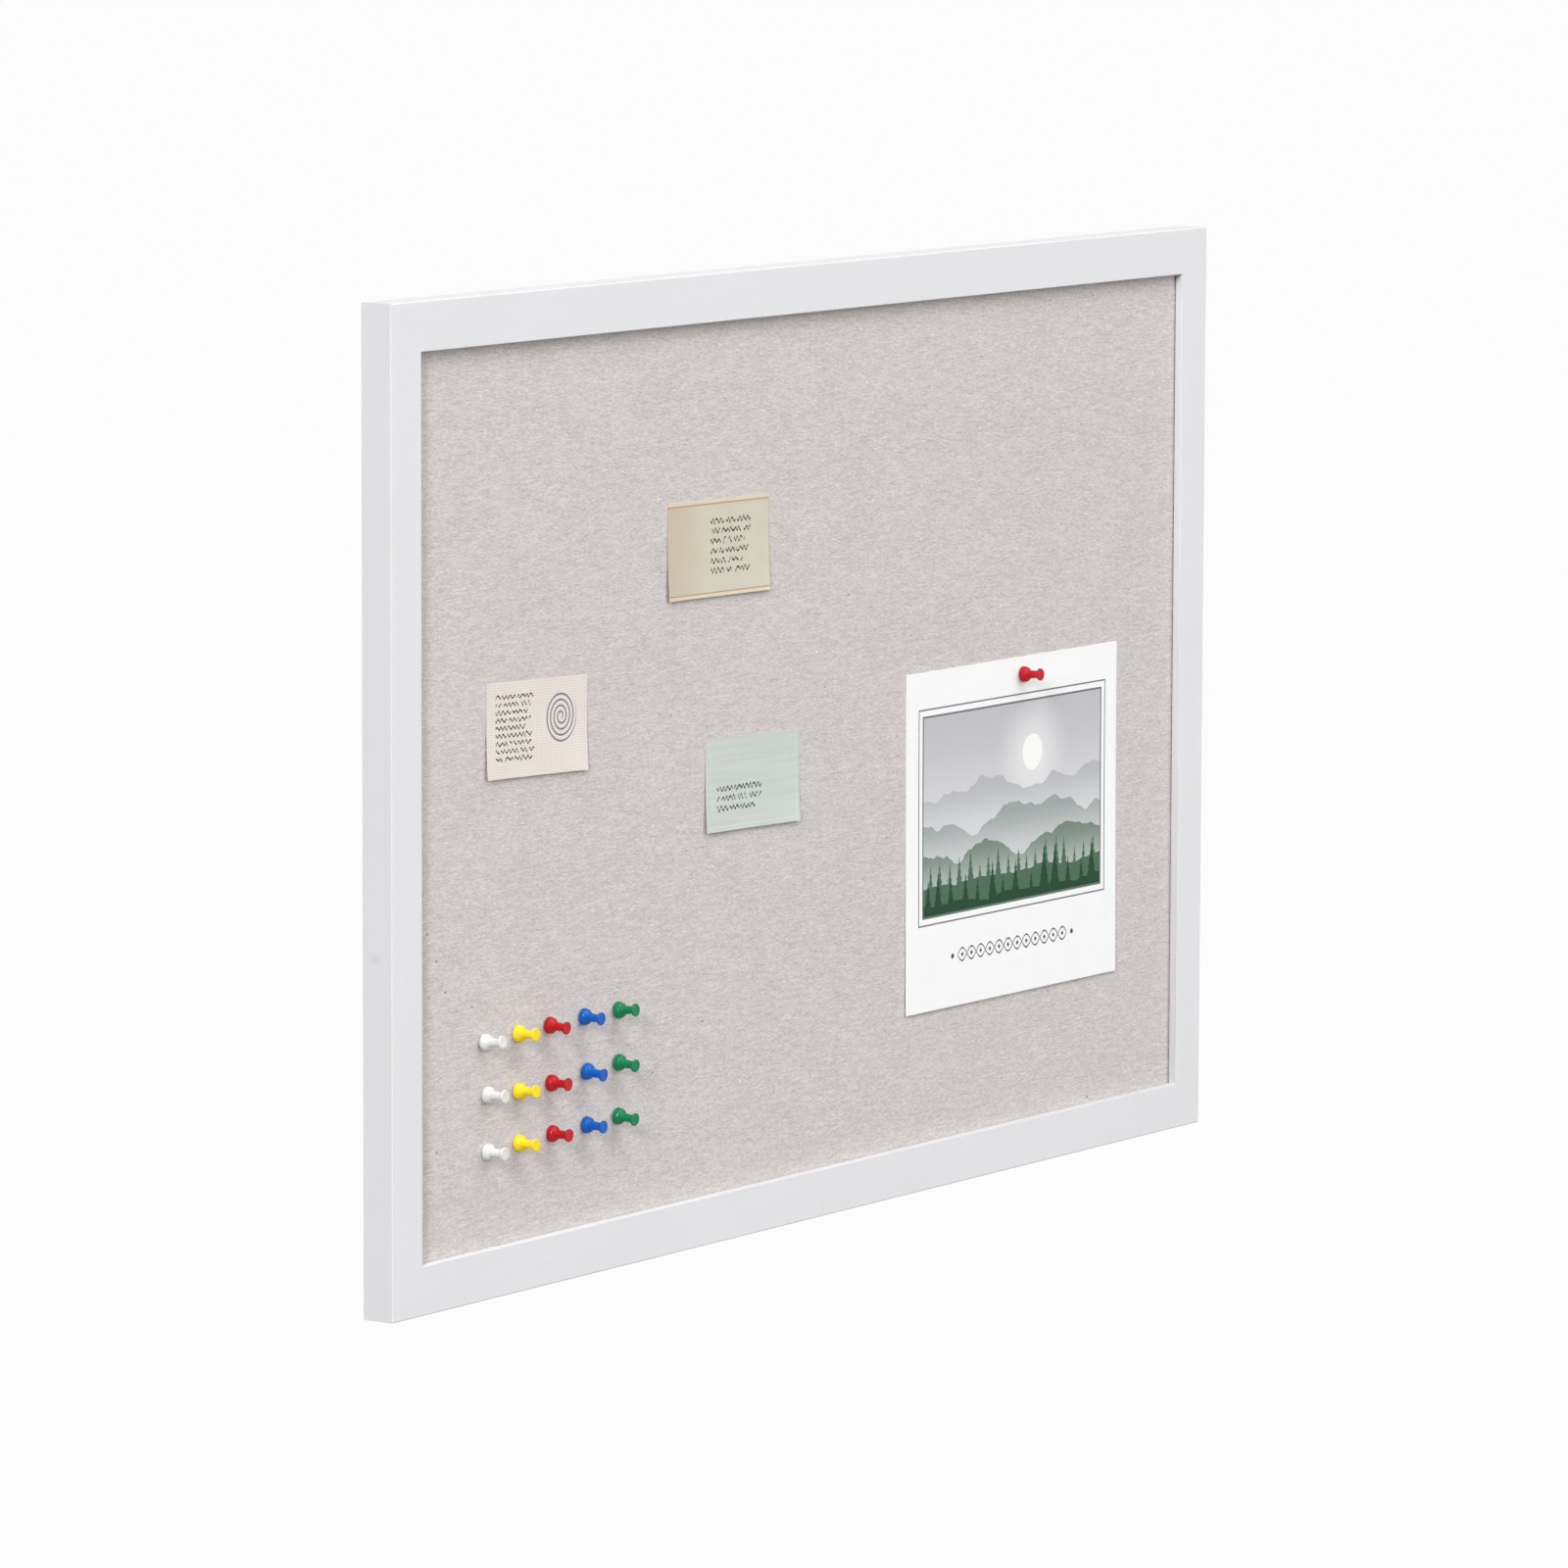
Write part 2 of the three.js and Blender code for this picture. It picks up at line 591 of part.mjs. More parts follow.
function addCard() {
  const left = -CARD_WIDTH / 2 - CARD_PIN_OFFSET;
  const top = CARD_PIN_DROP;
  const outline = polygon([
    [left, top], [left, top - CARD_HEIGHT], [left + CARD_WIDTH, top - CARD_HEIGHT], [left + CARD_WIDTH, top],
  ]);
  const holeRadius = NEEDLE_DIAMETER / 2 + SOCKET_CLEARANCE;
  outline.holes.push(new THREE.Path().absarc(0, 0, holeRadius, 0, 2 * Math.PI, true));
  const card = new THREE.Group();
  card.position.set(CARD_PIN_X, CARD_BACK, CARD_PIN_Z);
  addPiece(card, 'display_card', plate(outline, 0, CARD_THICKNESS, NEEDLE_SIDES / 2), CARD);
  board.add(card);
}

// A note hangs from the middle of its stuck top edge and bows away from the linen below
function noteGeometry(width, height) {
  const section = new THREE.Shape();
  section.moveTo(0, 0);
  section.quadraticCurveTo(0, -height / 2, -NOTE_CURL, -height);
  section.lineTo(-NOTE_CURL - NOTE_THICKNESS, -height);
  section.quadraticCurveTo(-NOTE_THICKNESS, -height / 2, -NOTE_THICKNESS, 0);
  return bar(section, width, ROUND_SIDES / 2);
}

function addNotes() {
  for (const { name, colour, width, height, x, z, roll } of NOTES) {
    const note = new THREE.Group();
    note.position.set(x, LINEN_FRONT - SEAT_GAP, z);
    note.rotation.y = THREE.MathUtils.degToRad(roll);
    addPiece(note, name, noteGeometry(width, height), { color: colour, roughness: 0.85, metalness: 0 });
    board.add(note);
  }
}

const pins = pinList();
addFrame();
addFrameHardware();
addPanel(pins);
addCard();
addNotes();
addPins(pins);

export default board;
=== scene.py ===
import json
import math

import bmesh
import bpy
import numpy as np
from mathutils import Matrix, Vector


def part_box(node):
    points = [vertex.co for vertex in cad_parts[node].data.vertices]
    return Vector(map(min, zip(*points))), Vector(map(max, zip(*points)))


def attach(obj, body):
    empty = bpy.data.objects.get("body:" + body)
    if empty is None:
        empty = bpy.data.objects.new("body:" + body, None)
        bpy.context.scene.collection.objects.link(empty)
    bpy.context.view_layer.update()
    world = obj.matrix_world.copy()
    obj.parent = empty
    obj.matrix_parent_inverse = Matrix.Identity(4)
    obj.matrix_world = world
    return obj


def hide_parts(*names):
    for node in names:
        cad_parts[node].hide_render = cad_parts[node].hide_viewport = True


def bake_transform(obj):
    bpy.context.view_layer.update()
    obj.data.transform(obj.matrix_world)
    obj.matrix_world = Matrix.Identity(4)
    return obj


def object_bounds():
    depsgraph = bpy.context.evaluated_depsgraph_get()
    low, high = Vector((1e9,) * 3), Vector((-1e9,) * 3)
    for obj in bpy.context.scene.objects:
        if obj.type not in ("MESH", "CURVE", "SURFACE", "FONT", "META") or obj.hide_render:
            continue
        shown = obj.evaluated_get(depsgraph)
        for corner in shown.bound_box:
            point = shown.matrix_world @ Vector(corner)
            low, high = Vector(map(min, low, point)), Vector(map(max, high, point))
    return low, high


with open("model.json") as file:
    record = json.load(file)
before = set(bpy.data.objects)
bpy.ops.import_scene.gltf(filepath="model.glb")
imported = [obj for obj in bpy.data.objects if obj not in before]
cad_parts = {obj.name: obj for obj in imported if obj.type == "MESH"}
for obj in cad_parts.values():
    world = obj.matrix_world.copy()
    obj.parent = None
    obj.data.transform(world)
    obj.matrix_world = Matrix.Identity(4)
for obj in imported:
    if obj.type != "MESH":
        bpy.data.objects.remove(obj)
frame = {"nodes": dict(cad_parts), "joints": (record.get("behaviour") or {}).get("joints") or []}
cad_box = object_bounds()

# Framed fabric bulletin board. Metres, in the frame's own axes: X right, Y towards the wall, Z up.
# Names that end in _MM are in millimetres, for the patterns in the materials.
MM = 0.001
FULL_TURN = 2 * math.pi
JOINTS = {joint["name"]: joint for joint in frame["joints"]}

# Frame: the hairline left at each mitre, how far from it a member's end may lie, how far out the
# inner edges that get painted shade lie at least, and the filled hole in the outer side of the left
# stile
MITRE_HAIRLINE = 0.02 * MM
MITRE_REACH = 0.3 * MM
HALF_WIDTH = -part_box("left_stile")[0].x
HALF_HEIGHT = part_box("top_rail")[1].z
INNER_EDGE_MM = 200
FILLED_RADIUS_MM = 3.4
FILLED_SOFT_MM = 1.2
FILLED_Y_MM = -10
FILLED_Z_MM = -86

# Linen: its mesh, its turn over the back of the panel, the needle holes in it, and its threads: how
# far they stray, bend over each other, and differ in tone from their neighbours
LINEN_THICKNESS = 0.6 * MM
LINEN_TURN = 26 * MM
LINEN_CELL = 20 * MM
LINEN_WELD = 0.01 * MM
PUNCTURE_RADIUS = 0.55 * MM
THREAD_PITCH_MM = 0.8
THREAD_STRAY = 0.8
THREAD_CRIMP = 0.55
THREAD_UNLIKE = 3.7

# Boards: the pitch of the screen that printed them in the press
SCREEN_PITCH_MM = 1.7

# Paper: thickness, how far the lower edge bows out and its corners lift, the mesh, how much of the
# paper ink covers, and how soft the edges of print are
NOTE_THICKNESS = 0.25 * MM
NOTE_BOW = 1.4 * MM
NOTE_CORNER_LIFT = 0.9 * MM
CARD_THICKNESS = 0.5 * MM
CARD_BOW = 0.9 * MM
CARD_HOLE_RADIUS = 0.8 * MM
PAPER_CELL = 2.5 * MM
INK_SHARE = 0.95
PRINT_SOFT_MM = 0.15

# Notes: the two rules of the kraft note, the spiral on the grid note, with its place from the right
# and from the top, and the lines along the side and the foot of the mint note
LOW_RULE_MM = 2.5
TOP_RULE_MM = 3.0
SPIRAL_INSET_MM = 27
SPIRAL_DROP_MM = 24
SPIRAL_PITCH_MM = 3.6
SPIRAL_RADIUS_MM = 16
SPIRAL_EYE_MM = 1.4
SPIRAL_SOFT_MM = 0.2
SIDE_LINE_MM = 3.6
FOOT_LINE_MM = 3.0

# Card print: the picture's margins, its outlines, its haze, its sun, and the ornament below it, whose
# end dots go by the square of their radius
PICTURE_SIDE_MM = 20
PICTURE_FOOT_MM = 62
PICTURE_HEAD_MM = 30
OUTLINE_MM = 1.3
OUTLINE_GAP_MM = 5
SECOND_OUTLINE_MM = 1.0
HAZE_TOP_MM = 30
HILL_MIST_TOP_MM = 6
HILL_MIST_DEPTH_MM = 30
SUN_RIGHT_MM = 150
SUN_DROP_MM = 34
SUN_RADIUS_MM = 12
SUN_SOFT_MM = 0.3
GLOW_RADIUS_MM = 46
GLOW_CORE_MM = 8
ORNAMENT_RISE_MM = 33
ORNAMENT_HALF_MM = 66
ORNAMENT_PERIOD_MM = 22
ORNAMENT_SWING_MM = 4.2
ORNAMENT_STROKE_MM = 1.1
DIAMOND_MM = 1.65
DOT_GAP_MM = 6
DOT_MM2 = 2.9
DOT_SOFT_MM2 = 0.5

# Push pins, along the needle from the foot of the flange. The dome and the flare of the cap stop
# at an angle, in quarter turns.
PIN_LENGTH = 14.3 * MM
PIN_FLANGE_RADIUS = 5.3 * MM
PIN_FLANGE_RIM = 1.0 * MM
PIN_DOME = 3.7 * MM
PIN_DOME_STOP = 0.88
PIN_WAIST_RADIUS = 2.75 * MM
PIN_NECK_RADIUS = 2.55 * MM
PIN_ROOT_FILLET = 0.6 * MM
PIN_ROOT_RISE = 0.75 * PIN_ROOT_FILLET
PIN_CAP_RADIUS = 4.05 * MM
PIN_CAP_RIM = 0.8 * MM
PIN_CAP_FLARE = 3.2 * MM
PIN_FLARE_STOP = 1.05
PIN_CAP_DISH = 0.25 * MM
PIN_DISH_RADIUS = 0.55 * PIN_CAP_RADIUS
PIN_DISH_SLOPE = 0.7 * PIN_CAP_DISH
PIN_EDGE_ROUND = 0.5 * MM
PIN_EDGE_STEPS = 4
PIN_CURVE_STEPS = 10
PIN_SIDES = 40
NEEDLE_RADIUS = 0.55 * MM
NEEDLE_REACH = 9.2 * MM
NEEDLE_POINT = 2.2 * MM
NEEDLE_TIP = 0.1 * MM
NEEDLE_TIP_RADIUS = 0.12 * NEEDLE_RADIUS
NEEDLE_SOCKET = 6.0 * MM
NEEDLE_FIT = 0.1 * MM
NEEDLE_SIDES = 16

# Hangers: ring of bent wire, folded strap, and screw with a cross recess
RING_WIRE_RADIUS = 1.2 * MM
RING_HALF_WIDTH = 8.8 * MM
RING_REACH = 14 * MM
RING_CORNER = 2.4 * MM
RING_BUTT_GAP = 0.5 * MM
RING_CORNER_STEPS = 6
RING_BOW_STEPS = 28
RING_SIDES = 14
STRAP_EDGE = 0.15 * MM
STRAP_EDGE_ANGLE = 40
SCREW_HEAD_RADIUS = 3.1 * MM
SCREW_HEAD_HEIGHT = 1.8 * MM
SCREW_HEAD_RIM = 0.6 * MM
SCREW_HEAD_EDGE = 0.1 * MM
SCREW_DOME_STOP = 0.92
SCREW_DOME_STEPS = 8
SCREW_SHANK_RADIUS = 1.4 * MM
SCREW_POINT = 3.5 * MM
SCREW_SIDES = 32
RECESS_WIDTH = 0.9 * MM
RECESS_SPAN = 3.6 * MM
RECESS_DEPTH = 1.2 * MM
RECESS_FOOT_SHARE = 0.55
RECESS_MOUTH_SHARE = 1.5

# Copies of solids: points this close are one, and faces this near to one plane (degrees) are one
SEAM_WELD = 0.001 * MM
FLAT_ANGLE = 0.5

# Studio: the board hangs over a floor, among soft lamps under a pale sky. Where the floor is seen it
# is white but for a small share, which keeps the board's shadow; its grey is what lights the board
# from below. Each lamp has the way towards it, its width and height, and the brightness that it
# alone gives to a white surface facing it.
WHITE = (1, 1, 1, 1)
FLOOR_DROP = 0.9
FLOOR_SIZE = 140
FLOOR_GREY = 130
FLOOR_WHITE_SHARE = 0.97
SKY_AT_HORIZON = 0.3
SKY_OVERHEAD = 0.2
SKY_TILT_RIGHT = 0.05
LAMP_DISTANCE = 14
LAMPS = {
    "upper_lamp": (Vector((-0.15, -1.0, 2.2)), 14, 5.5, 0.55),
    "left_lamp": (Vector((-2.65, -1.0, 1.2)), 2.2, 4.2, 0.68),
    "front_lamp": (Vector((0.35, -1.0, 0.35)), 11, 11, 0.45),
    "back_lamp": (Vector((0.0, 1.0, 0.15)), 8, 8, 0.52),
}

# Camera: the photograph's view
CAMERA_AIM = Vector((-0.0367, -0.0165, -0.0231))
CAMERA_AZIMUTH = math.radians(-55.63)
CAMERA_ELEVATION = math.radians(7.16)
CAMERA_ROLL = math.radians(0.2)
CAMERA_DISTANCE = 5.634
CAMERA_LENS = 204.5
CAMERA_SENSOR = 36


def srgb(red, green, blue):
    """A colour as it looks on screen, 0 to 255, as the linear colour that a shader takes."""
    def linear(level):
        share = level / 255
        return share / 12.92 if share <= 0.04045 else ((share + 0.055) / 1.055) ** 2.4
    return linear(red), linear(green), linear(blue), 1.0


# Tones of the linen, the paint, the boards and the steel
LINEN_DEEP = srgb(178, 170, 168)
LINEN_PALE = srgb(236, 230, 229)
FLECK_TONE = srgb(120, 106, 98)
NEP_TONE = srgb(246, 243, 241)
PAINT_DEEP = srgb(224, 224, 226)
PAINT_PALE = srgb(230, 230, 232)
# painted shade for the inner edges of the frame
PAINT_SHADED_EDGE = srgb(208, 208, 211)
DUST_TONE = srgb(150, 148, 145)
FILLER_TONE = srgb(208, 208, 210)
HARDBOARD_DEEP = srgb(92, 62, 40)
HARDBOARD_PALE = srgb(148, 108, 74)
CORE_DEEP = srgb(150, 124, 88)
CORE_PALE = srgb(196, 172, 132)
STEEL_DEEP = srgb(168, 170, 174)
STEEL_PALE = srgb(205, 207, 210)
STEEL_DULL = srgb(140, 140, 142)

# Tones of the papers: the two of each stock, then those of what is on it
KRAFT_STOCK = (srgb(207, 201, 182), srgb(216, 212, 197))
KRAFT_LEFT_TONE = srgb(196, 178, 154)
KRAFT_WOVEN = srgb(165, 155, 135)
KRAFT_MARGIN = srgb(226, 214, 192)
KRAFT_RULE = srgb(188, 144, 108)
KRAFT_INK = srgb(26, 23, 21)
GRID_STOCK = (srgb(228, 220, 212), srgb(237, 232, 227))
GRID_SQUARES = srgb(186, 168, 152)
GRID_SPIRAL = srgb(72, 68, 104)
GRID_INK = srgb(24, 21, 22)
MINT_STOCK = (srgb(200, 207, 201), srgb(208, 214, 209))
MINT_BAND = srgb(193, 202, 199)
MINT_LINE = srgb(222, 230, 222)
MINT_INK = srgb(24, 28, 28)
CARD_STOCK = (srgb(246, 246, 246), srgb(250, 250, 250))
CARD_OUTLINE = srgb(74, 76, 80)
CARD_INK = srgb(30, 30, 32)

# Plastic of the pins: its colour, the deeper tone of its flow marks, and how far light enters it
PIN_COLOURS = {
    "white": (srgb(225, 225, 224), srgb(217, 217, 216), 0.25),
    "yellow": (srgb(250, 222, 40), srgb(243, 206, 14), 0.15),
    "red": (srgb(190, 8, 18), srgb(162, 4, 12), 0.05),
    "blue": (srgb(0, 94, 190), srgb(0, 76, 164), 0.05),
    "green": (srgb(0, 130, 80), srgb(0, 106, 64), 0.05),
}

# Hills of the card's picture, the far ones first: height, swing and length in millimetres, tone, and
# mist at their foot
HILLS = (
    (140, 58, 62, srgb(184, 186, 190), srgb(216, 217, 219)),
    (120, 52, 48, srgb(158, 165, 164), srgb(208, 211, 211)),
    (100, 44, 40, srgb(116, 136, 124), srgb(192, 200, 196)),
)

# Sky and sun of the card's picture
HAZE_TONE = srgb(226, 226, 228)
ZENITH_TONE = srgb(193, 193, 197)
GLOW_TONE = srgb(242, 242, 242)
SUN_TONE = srgb(250, 250, 249)

# Firs of the card's picture, the far row first: ground, spacing and height in millimetres, and tone
FIRS = (
    (79, 11.5, 22, srgb(74, 106, 84)),
    (66, 15.5, 30, srgb(26, 66, 42)),
)


class Field:
    """A value that varies over a surface. Arithmetic on it adds nodes to its tree."""

    def __init__(self, nodes, socket):
        self.nodes = nodes
        self.socket = socket

    def __add__(self, other):
        return self.nodes.math("ADD", self, other)

    def __radd__(self, other):
        return self.nodes.math("ADD", other, self)

    def __sub__(self, other):
        return self.nodes.math("SUBTRACT", self, other)

    def __rsub__(self, other):
        return self.nodes.math("SUBTRACT", other, self)

    def __mul__(self, other):
        return self.nodes.math("MULTIPLY", self, other)

    def __truediv__(self, other):
        return self.nodes.math("DIVIDE", self, other)

    def __abs__(self):
        return self.nodes.math("ABSOLUTE", self)

    def floor(self):
        return self.nodes.math("FLOOR", self)

    def fraction(self):
        return self.nodes.math("FRACT", self)

    def sine(self):
        return self.nodes.math("SINE", self)

    def root(self):
        return self.nodes.math("SQRT", self)

    def least(self, other):
        return self.nodes.math("MINIMUM", self, other)

    def most(self, other):
        return self.nodes.math("MAXIMUM", self, other)

    def fade(self, zero_at, one_at):
        """0 on one side, 1 on the other, and a smooth step between the two values."""
        inputs = {"Value": self, "From Min": zero_at, "From Max": one_at}
        return self.nodes.field("MapRange", "Result", inputs, interpolation_type="SMOOTHSTEP")


class Nodes:
    """A shader tree, with short ways to add nodes to it and join them."""

    def __init__(self, tree):
        self.tree = tree

    def feed(self, socket, value):
        if isinstance(value, Field):
            self.tree.links.new(value.socket, socket)
        else:
            socket.default_value = value

    def node(self, kind, inputs=None, **settings):
        made = self.tree.nodes.new("ShaderNode" + kind)
        for name, value in settings.items():
            setattr(made, name, value)
        for name, value in (inputs or {}).items():
            self.feed(made.inputs[name], value)
        return made

    def field(self, kind, output, inputs=None, **settings):
        """What one output of a new node gives."""
        return Field(self, self.node(kind, inputs, **settings).outputs[output])

    def math(self, operation, *values):
        made = self.node("Math", operation=operation)
        for socket, value in zip(made.inputs, values):
            self.feed(socket, value)
        return Field(self, made.outputs["Value"])

    def parts(self, vector, scale):
        """The three parts of a vector, times a scale."""
        inputs = {"Vector": vector, "Scale": scale}
        scaled = self.field("VectorMath", "Vector", inputs, operation="SCALE")
        split = self.node("SeparateXYZ", {"Vector": scaled})
        return [Field(self, socket) for socket in split.outputs]

    def seen_directly(self):
        """1 for rays that show the background: from the camera, mirrored or through glass."""
        path = self.node("LightPath")
        camera, glossy, transmission = (
            Field(self, path.outputs[f"Is {kind} Ray"]) for kind in ("Camera", "Glossy", "Transmission")
        )
        return camera.most(glossy).most(transmission)


class Finish(Nodes):
    """A procedural material: a Principled shader and the nodes that feed it."""

    # Places of the colour sockets on a Mix node, where names repeat
    MIX_SHARE, MIX_FIRST, MIX_SECOND, MIX_RESULT = 0, 6, 7, 2

    def __init__(self, name):
        self.material = bpy.data.materials.new(name)
        self.material.use_nodes = True
        super().__init__(self.material.node_tree)
        self.shader = self.tree.nodes["Principled BSDF"]

    def set(self, **values):
        """Values for the shader's sockets, named with underscores for spaces."""
        for name, value in values.items():
            self.feed(self.shader.inputs[name.replace("_", " ")], value)

    def place(self):
        """Where a point is on its own piece: x, y and z in millimetres."""
        return self.parts(self.field("TexCoord", "Object"), 1 / MM)

    def paper(self):
        """Where a point is on its sheet: across and up from the lower left corner, in millimetres."""
        return self.parts(self.field("UVMap", "UV", uv_map="sheet"), 1 / MM)[:2]

    def at(self, x=0, y=0, z=0):
        return self.field("CombineXYZ", "Vector", {"X": x, "Y": y, "Z": z})

    def noise(self, vector, detail=2):
        """Cloudy noise about 0, whose spots are one unit of the vector across."""
        return self.field("TexNoise", "Fac", {"Vector": vector, "Scale": 1.0, "Detail": detail}) - 0.5

    def specks(self, vector, radius, share):
        """1 on spots of that radius in a share of the vector's unit cells."""
        made = self.node("TexVoronoi", {"Vector": vector, "Scale": 1.0})
        tint = Field(self, made.outputs["Color"])
        chosen = self.field("SeparateColor", "Red", {"Color": tint}).fade(share + 0.01, share - 0.01)
        return Field(self, made.outputs["Distance"]).fade(radius, radius * 0.6) * chosen

    def chance(self, first, second=0):
        """A number from 0 to 1 that differs for each pair of whole values."""
        return self.field("TexWhiteNoise", "Value", {"Vector": self.at(first, second)})

    def mix(self, share, first, second):
        made = self.node("Mix", data_type="RGBA")
        self.feed(made.inputs[self.MIX_SHARE], share)
        self.feed(made.inputs[self.MIX_FIRST], first)
        self.feed(made.inputs[self.MIX_SECOND], second)
        return Field(self, made.outputs[self.MIX_RESULT])

    def bump(self, height, depth_mm, strength):
        inputs = {"Height": height, "Distance": depth_mm * MM, "Strength": strength}
        self.set(Normal=self.field("Bump", "Normal", inputs))


def linen_finish():
    """Plain weave of uneven yarn, each thread with its own tone, with flecks and pale neps, and painted
    shade at the threads' edges and between them.
    """
    finish = Finish("linen_weave")
    x, _, z = finish.place()
    column = x / THREAD_PITCH_MM + finish.noise(finish.at(x / 3.3, 0, z / 25)) * THREAD_STRAY
    row = z / THREAD_PITCH_MM + finish.noise(finish.at(x / 25, 7, z / 3.3)) * THREAD_STRAY
    warp, weft = column.floor(), row.floor()
    # 1 where the weft crosses over the warp, -1 where it crosses under
    weft_rises = ((warp + weft) / 2).fraction() * 4 - 1
    warp_round = (column.fraction() * math.pi).sine()
    weft_round = (row.fraction() * math.pi).sine()
    warp_height = warp_round - weft_rises * weft_round * THREAD_CRIMP
    weft_height = weft_round + weft_rises * warp_round * THREAD_CRIMP
    weft_over = (weft_height - warp_height).fade(-0.15, 0.15)
    warp_over = 1 - weft_over
    warp_tone = finish.noise(finish.at(warp * THREAD_UNLIKE, 0, z / 1.6), detail=3)
    weft_tone = finish.noise(finish.at(x / 3.8, 4, weft * THREAD_UNLIKE), detail=3)
    slub = finish.noise(finish.at(x / 14, 9, weft * THREAD_UNLIKE))
    warp_fibre = finish.noise(finish.at(x / 0.22, 2, z / 2.2)) * warp_over
    weft_fibre = finish.noise(finish.at(x / 2.2, 2, z / 0.22)) * weft_over
    relief = warp_height.most(weft_height)
    fibre = warp_fibre + weft_fibre
    cloud = finish.noise(finish.at(x / 70, 0, z / 40))
    yarn = weft_tone * (weft_over * 0.3 + 0.8) + warp_tone * (warp_over * 0.4 + 0.1) + slub * 0.7
    # painted shade: the relief term darkens each thread towards its edges and in the hollows where
    # threads cross
    level = yarn * 1.2 + fibre * 0.85 + relief * 0.36 + cloud * 0.12 + 0.1
    cloth = finish.mix(level, LINEN_DEEP, LINEN_PALE)
    flecks = finish.specks(finish.at(x / 9, 0, z / 4), radius=0.2, share=0.014)
    neps = finish.specks(finish.at(x / 7, 3, z / 5), radius=0.18, share=0.012)
    flecked = finish.mix(flecks * 0.7, cloth, FLECK_TONE)
    finish.set(
        Base_Color=finish.mix(neps * 0.75, flecked, NEP_TONE),
        Roughness=0.92,
        Specular_IOR_Level=0.15,
        Sheen_Weight=0.06,
        Sheen_Roughness=0.5,
    )
    height = relief * 0.7 + yarn * 0.6 + fibre * 0.3 + neps * 0.6
    finish.bump(height, depth_mm=0.2, strength=0.5)
    return finish.material


def paint_finish(name, grain, filled_hole=False):
    """Sprayed satin paint with painted shade on the inner edges: faint peel, long ripples and a little
    dust.
    """
    finish = Finish(name)
    x, y, z = finish.place()
    along, across = (x, z) if grain == "x" else (z, x)
    ripple = finish.noise(finish.at(along / 160, across / 3.2, y / 3.2), detail=3)
    peel = finish.noise(finish.at(x / 1.1, y / 1.1, z / 1.1))
    dust = finish.specks(finish.at(x / 14, y / 14, z / 14), radius=0.035, share=0.12)
    cloud = finish.noise(finish.at(x / 90, y / 90, z / 90))
    coat = finish.mix(0.5 + ripple * 0.5 + cloud * 0.7, PAINT_DEEP, PAINT_PALE)
    face_x, _, face_z = finish.parts(finish.field("TexCoord", "Normal"), 1.0)
    # painted shade: faces that look towards the middle of the frame, its inner edges, are darkened
    shaded_inner_edge = (face_z * z if grain == "x" else face_x * x).fade(-INNER_EDGE_MM * 0.5, -INNER_EDGE_MM)
    edged = finish.mix(shaded_inner_edge * 0.6, coat, PAINT_SHADED_EDGE)
    colour = finish.mix(dust * 0.15, edged, DUST_TONE)
    height = ripple * 0.5 + peel * 0.35
    if filled_hole:
        off_y = y - FILLED_Y_MM
        off_z = z - FILLED_Z_MM
        reach = (off_y * off_y + off_z * off_z).root()
        on_side = x.fade(1 - HALF_WIDTH / MM, -HALF_WIDTH / MM)
        plug = within(reach, FILLED_RADIUS_MM, FILLED_SOFT_MM) * on_side
        colour = finish.mix(plug * 0.45, colour, FILLER_TONE)
        height = height - plug * 1.2
    finish.set(
        Base_Color=colour,
        Roughness=0.58 + peel * 0.2 + ripple * 0.1,
        Specular_IOR_Level=0.12,
    )
    finish.bump(height, depth_mm=0.05, strength=0.35)
    return finish.material


def fibre_finish(name, dark, light, roughness):
    """Pressed wood fibre: short matted strands, mottled, with the print of the press's screen."""
    finish = Finish(name)
    x, y, z = finish.place()
    matted = finish.noise(finish.at(x / 0.9, y / 0.9, z / 0.9), detail=5)
    strands = finish.noise(finish.at((x + z) / 3.5, y, (x - z) / 0.6), detail=3)
    crossed = finish.noise(finish.at((x + z) / 0.6, y, (x - z) / 3.5), detail=3)
    cloud = finish.noise(finish.at(x / 70, y, z / 70))
    screen = (x * (FULL_TURN / SCREEN_PITCH_MM)).sine() * (z * (FULL_TURN / SCREEN_PITCH_MM)).sine()
    level = 0.5 + matted * 0.9 + strands * 0.5 + crossed * 0.5 + cloud * 0.4 + screen * 0.06
    chips = finish.specks(finish.at(x / 5, y, z / 3.5), radius=0.14, share=0.3)
    finish.set(
        Base_Color=finish.mix(chips * 0.3, finish.mix(level, dark, light), dark),
        Roughness=level.fade(-0.2, 1.2) * 0.2 + roughness - 0.1,
        Specular_IOR_Level=0.35,
    )
    height = matted + strands * 0.4 + crossed * 0.4 + screen * 0.35
    finish.bump(height, depth_mm=0.08, strength=0.5)
    return finish.material


def steel_finish(name, roughness):
    """Zinc-plated steel: fine drawn lines, a spangled tone and small dull spots."""
    finish = Finish(name)
    x, y, z = finish.place()
    spangle = finish.noise(finish.at(x / 3, y / 3, z / 3), detail=3)
    lines = finish.noise(finish.at(x / 0.25, y / 0.25, z / 4))
    dull = finish.specks(finish.at(x / 2.5, y / 2.5, z / 2.5), radius=0.2, share=0.15)
    shade = finish.mix(0.5 + spangle * 0.9 + lines * 0.3, STEEL_DEEP, STEEL_PALE)
    finish.set(
        Base_Color=finish.mix(dull * 0.25, shade, STEEL_DULL),
        Metallic=1.0,
        Roughness=spangle * 0.2 + lines * 0.1 + dull * 0.12 + roughness,
    )
    finish.bump(lines * 0.6 + spangle * 0.4, depth_mm=0.01, strength=0.4)
    return finish.material


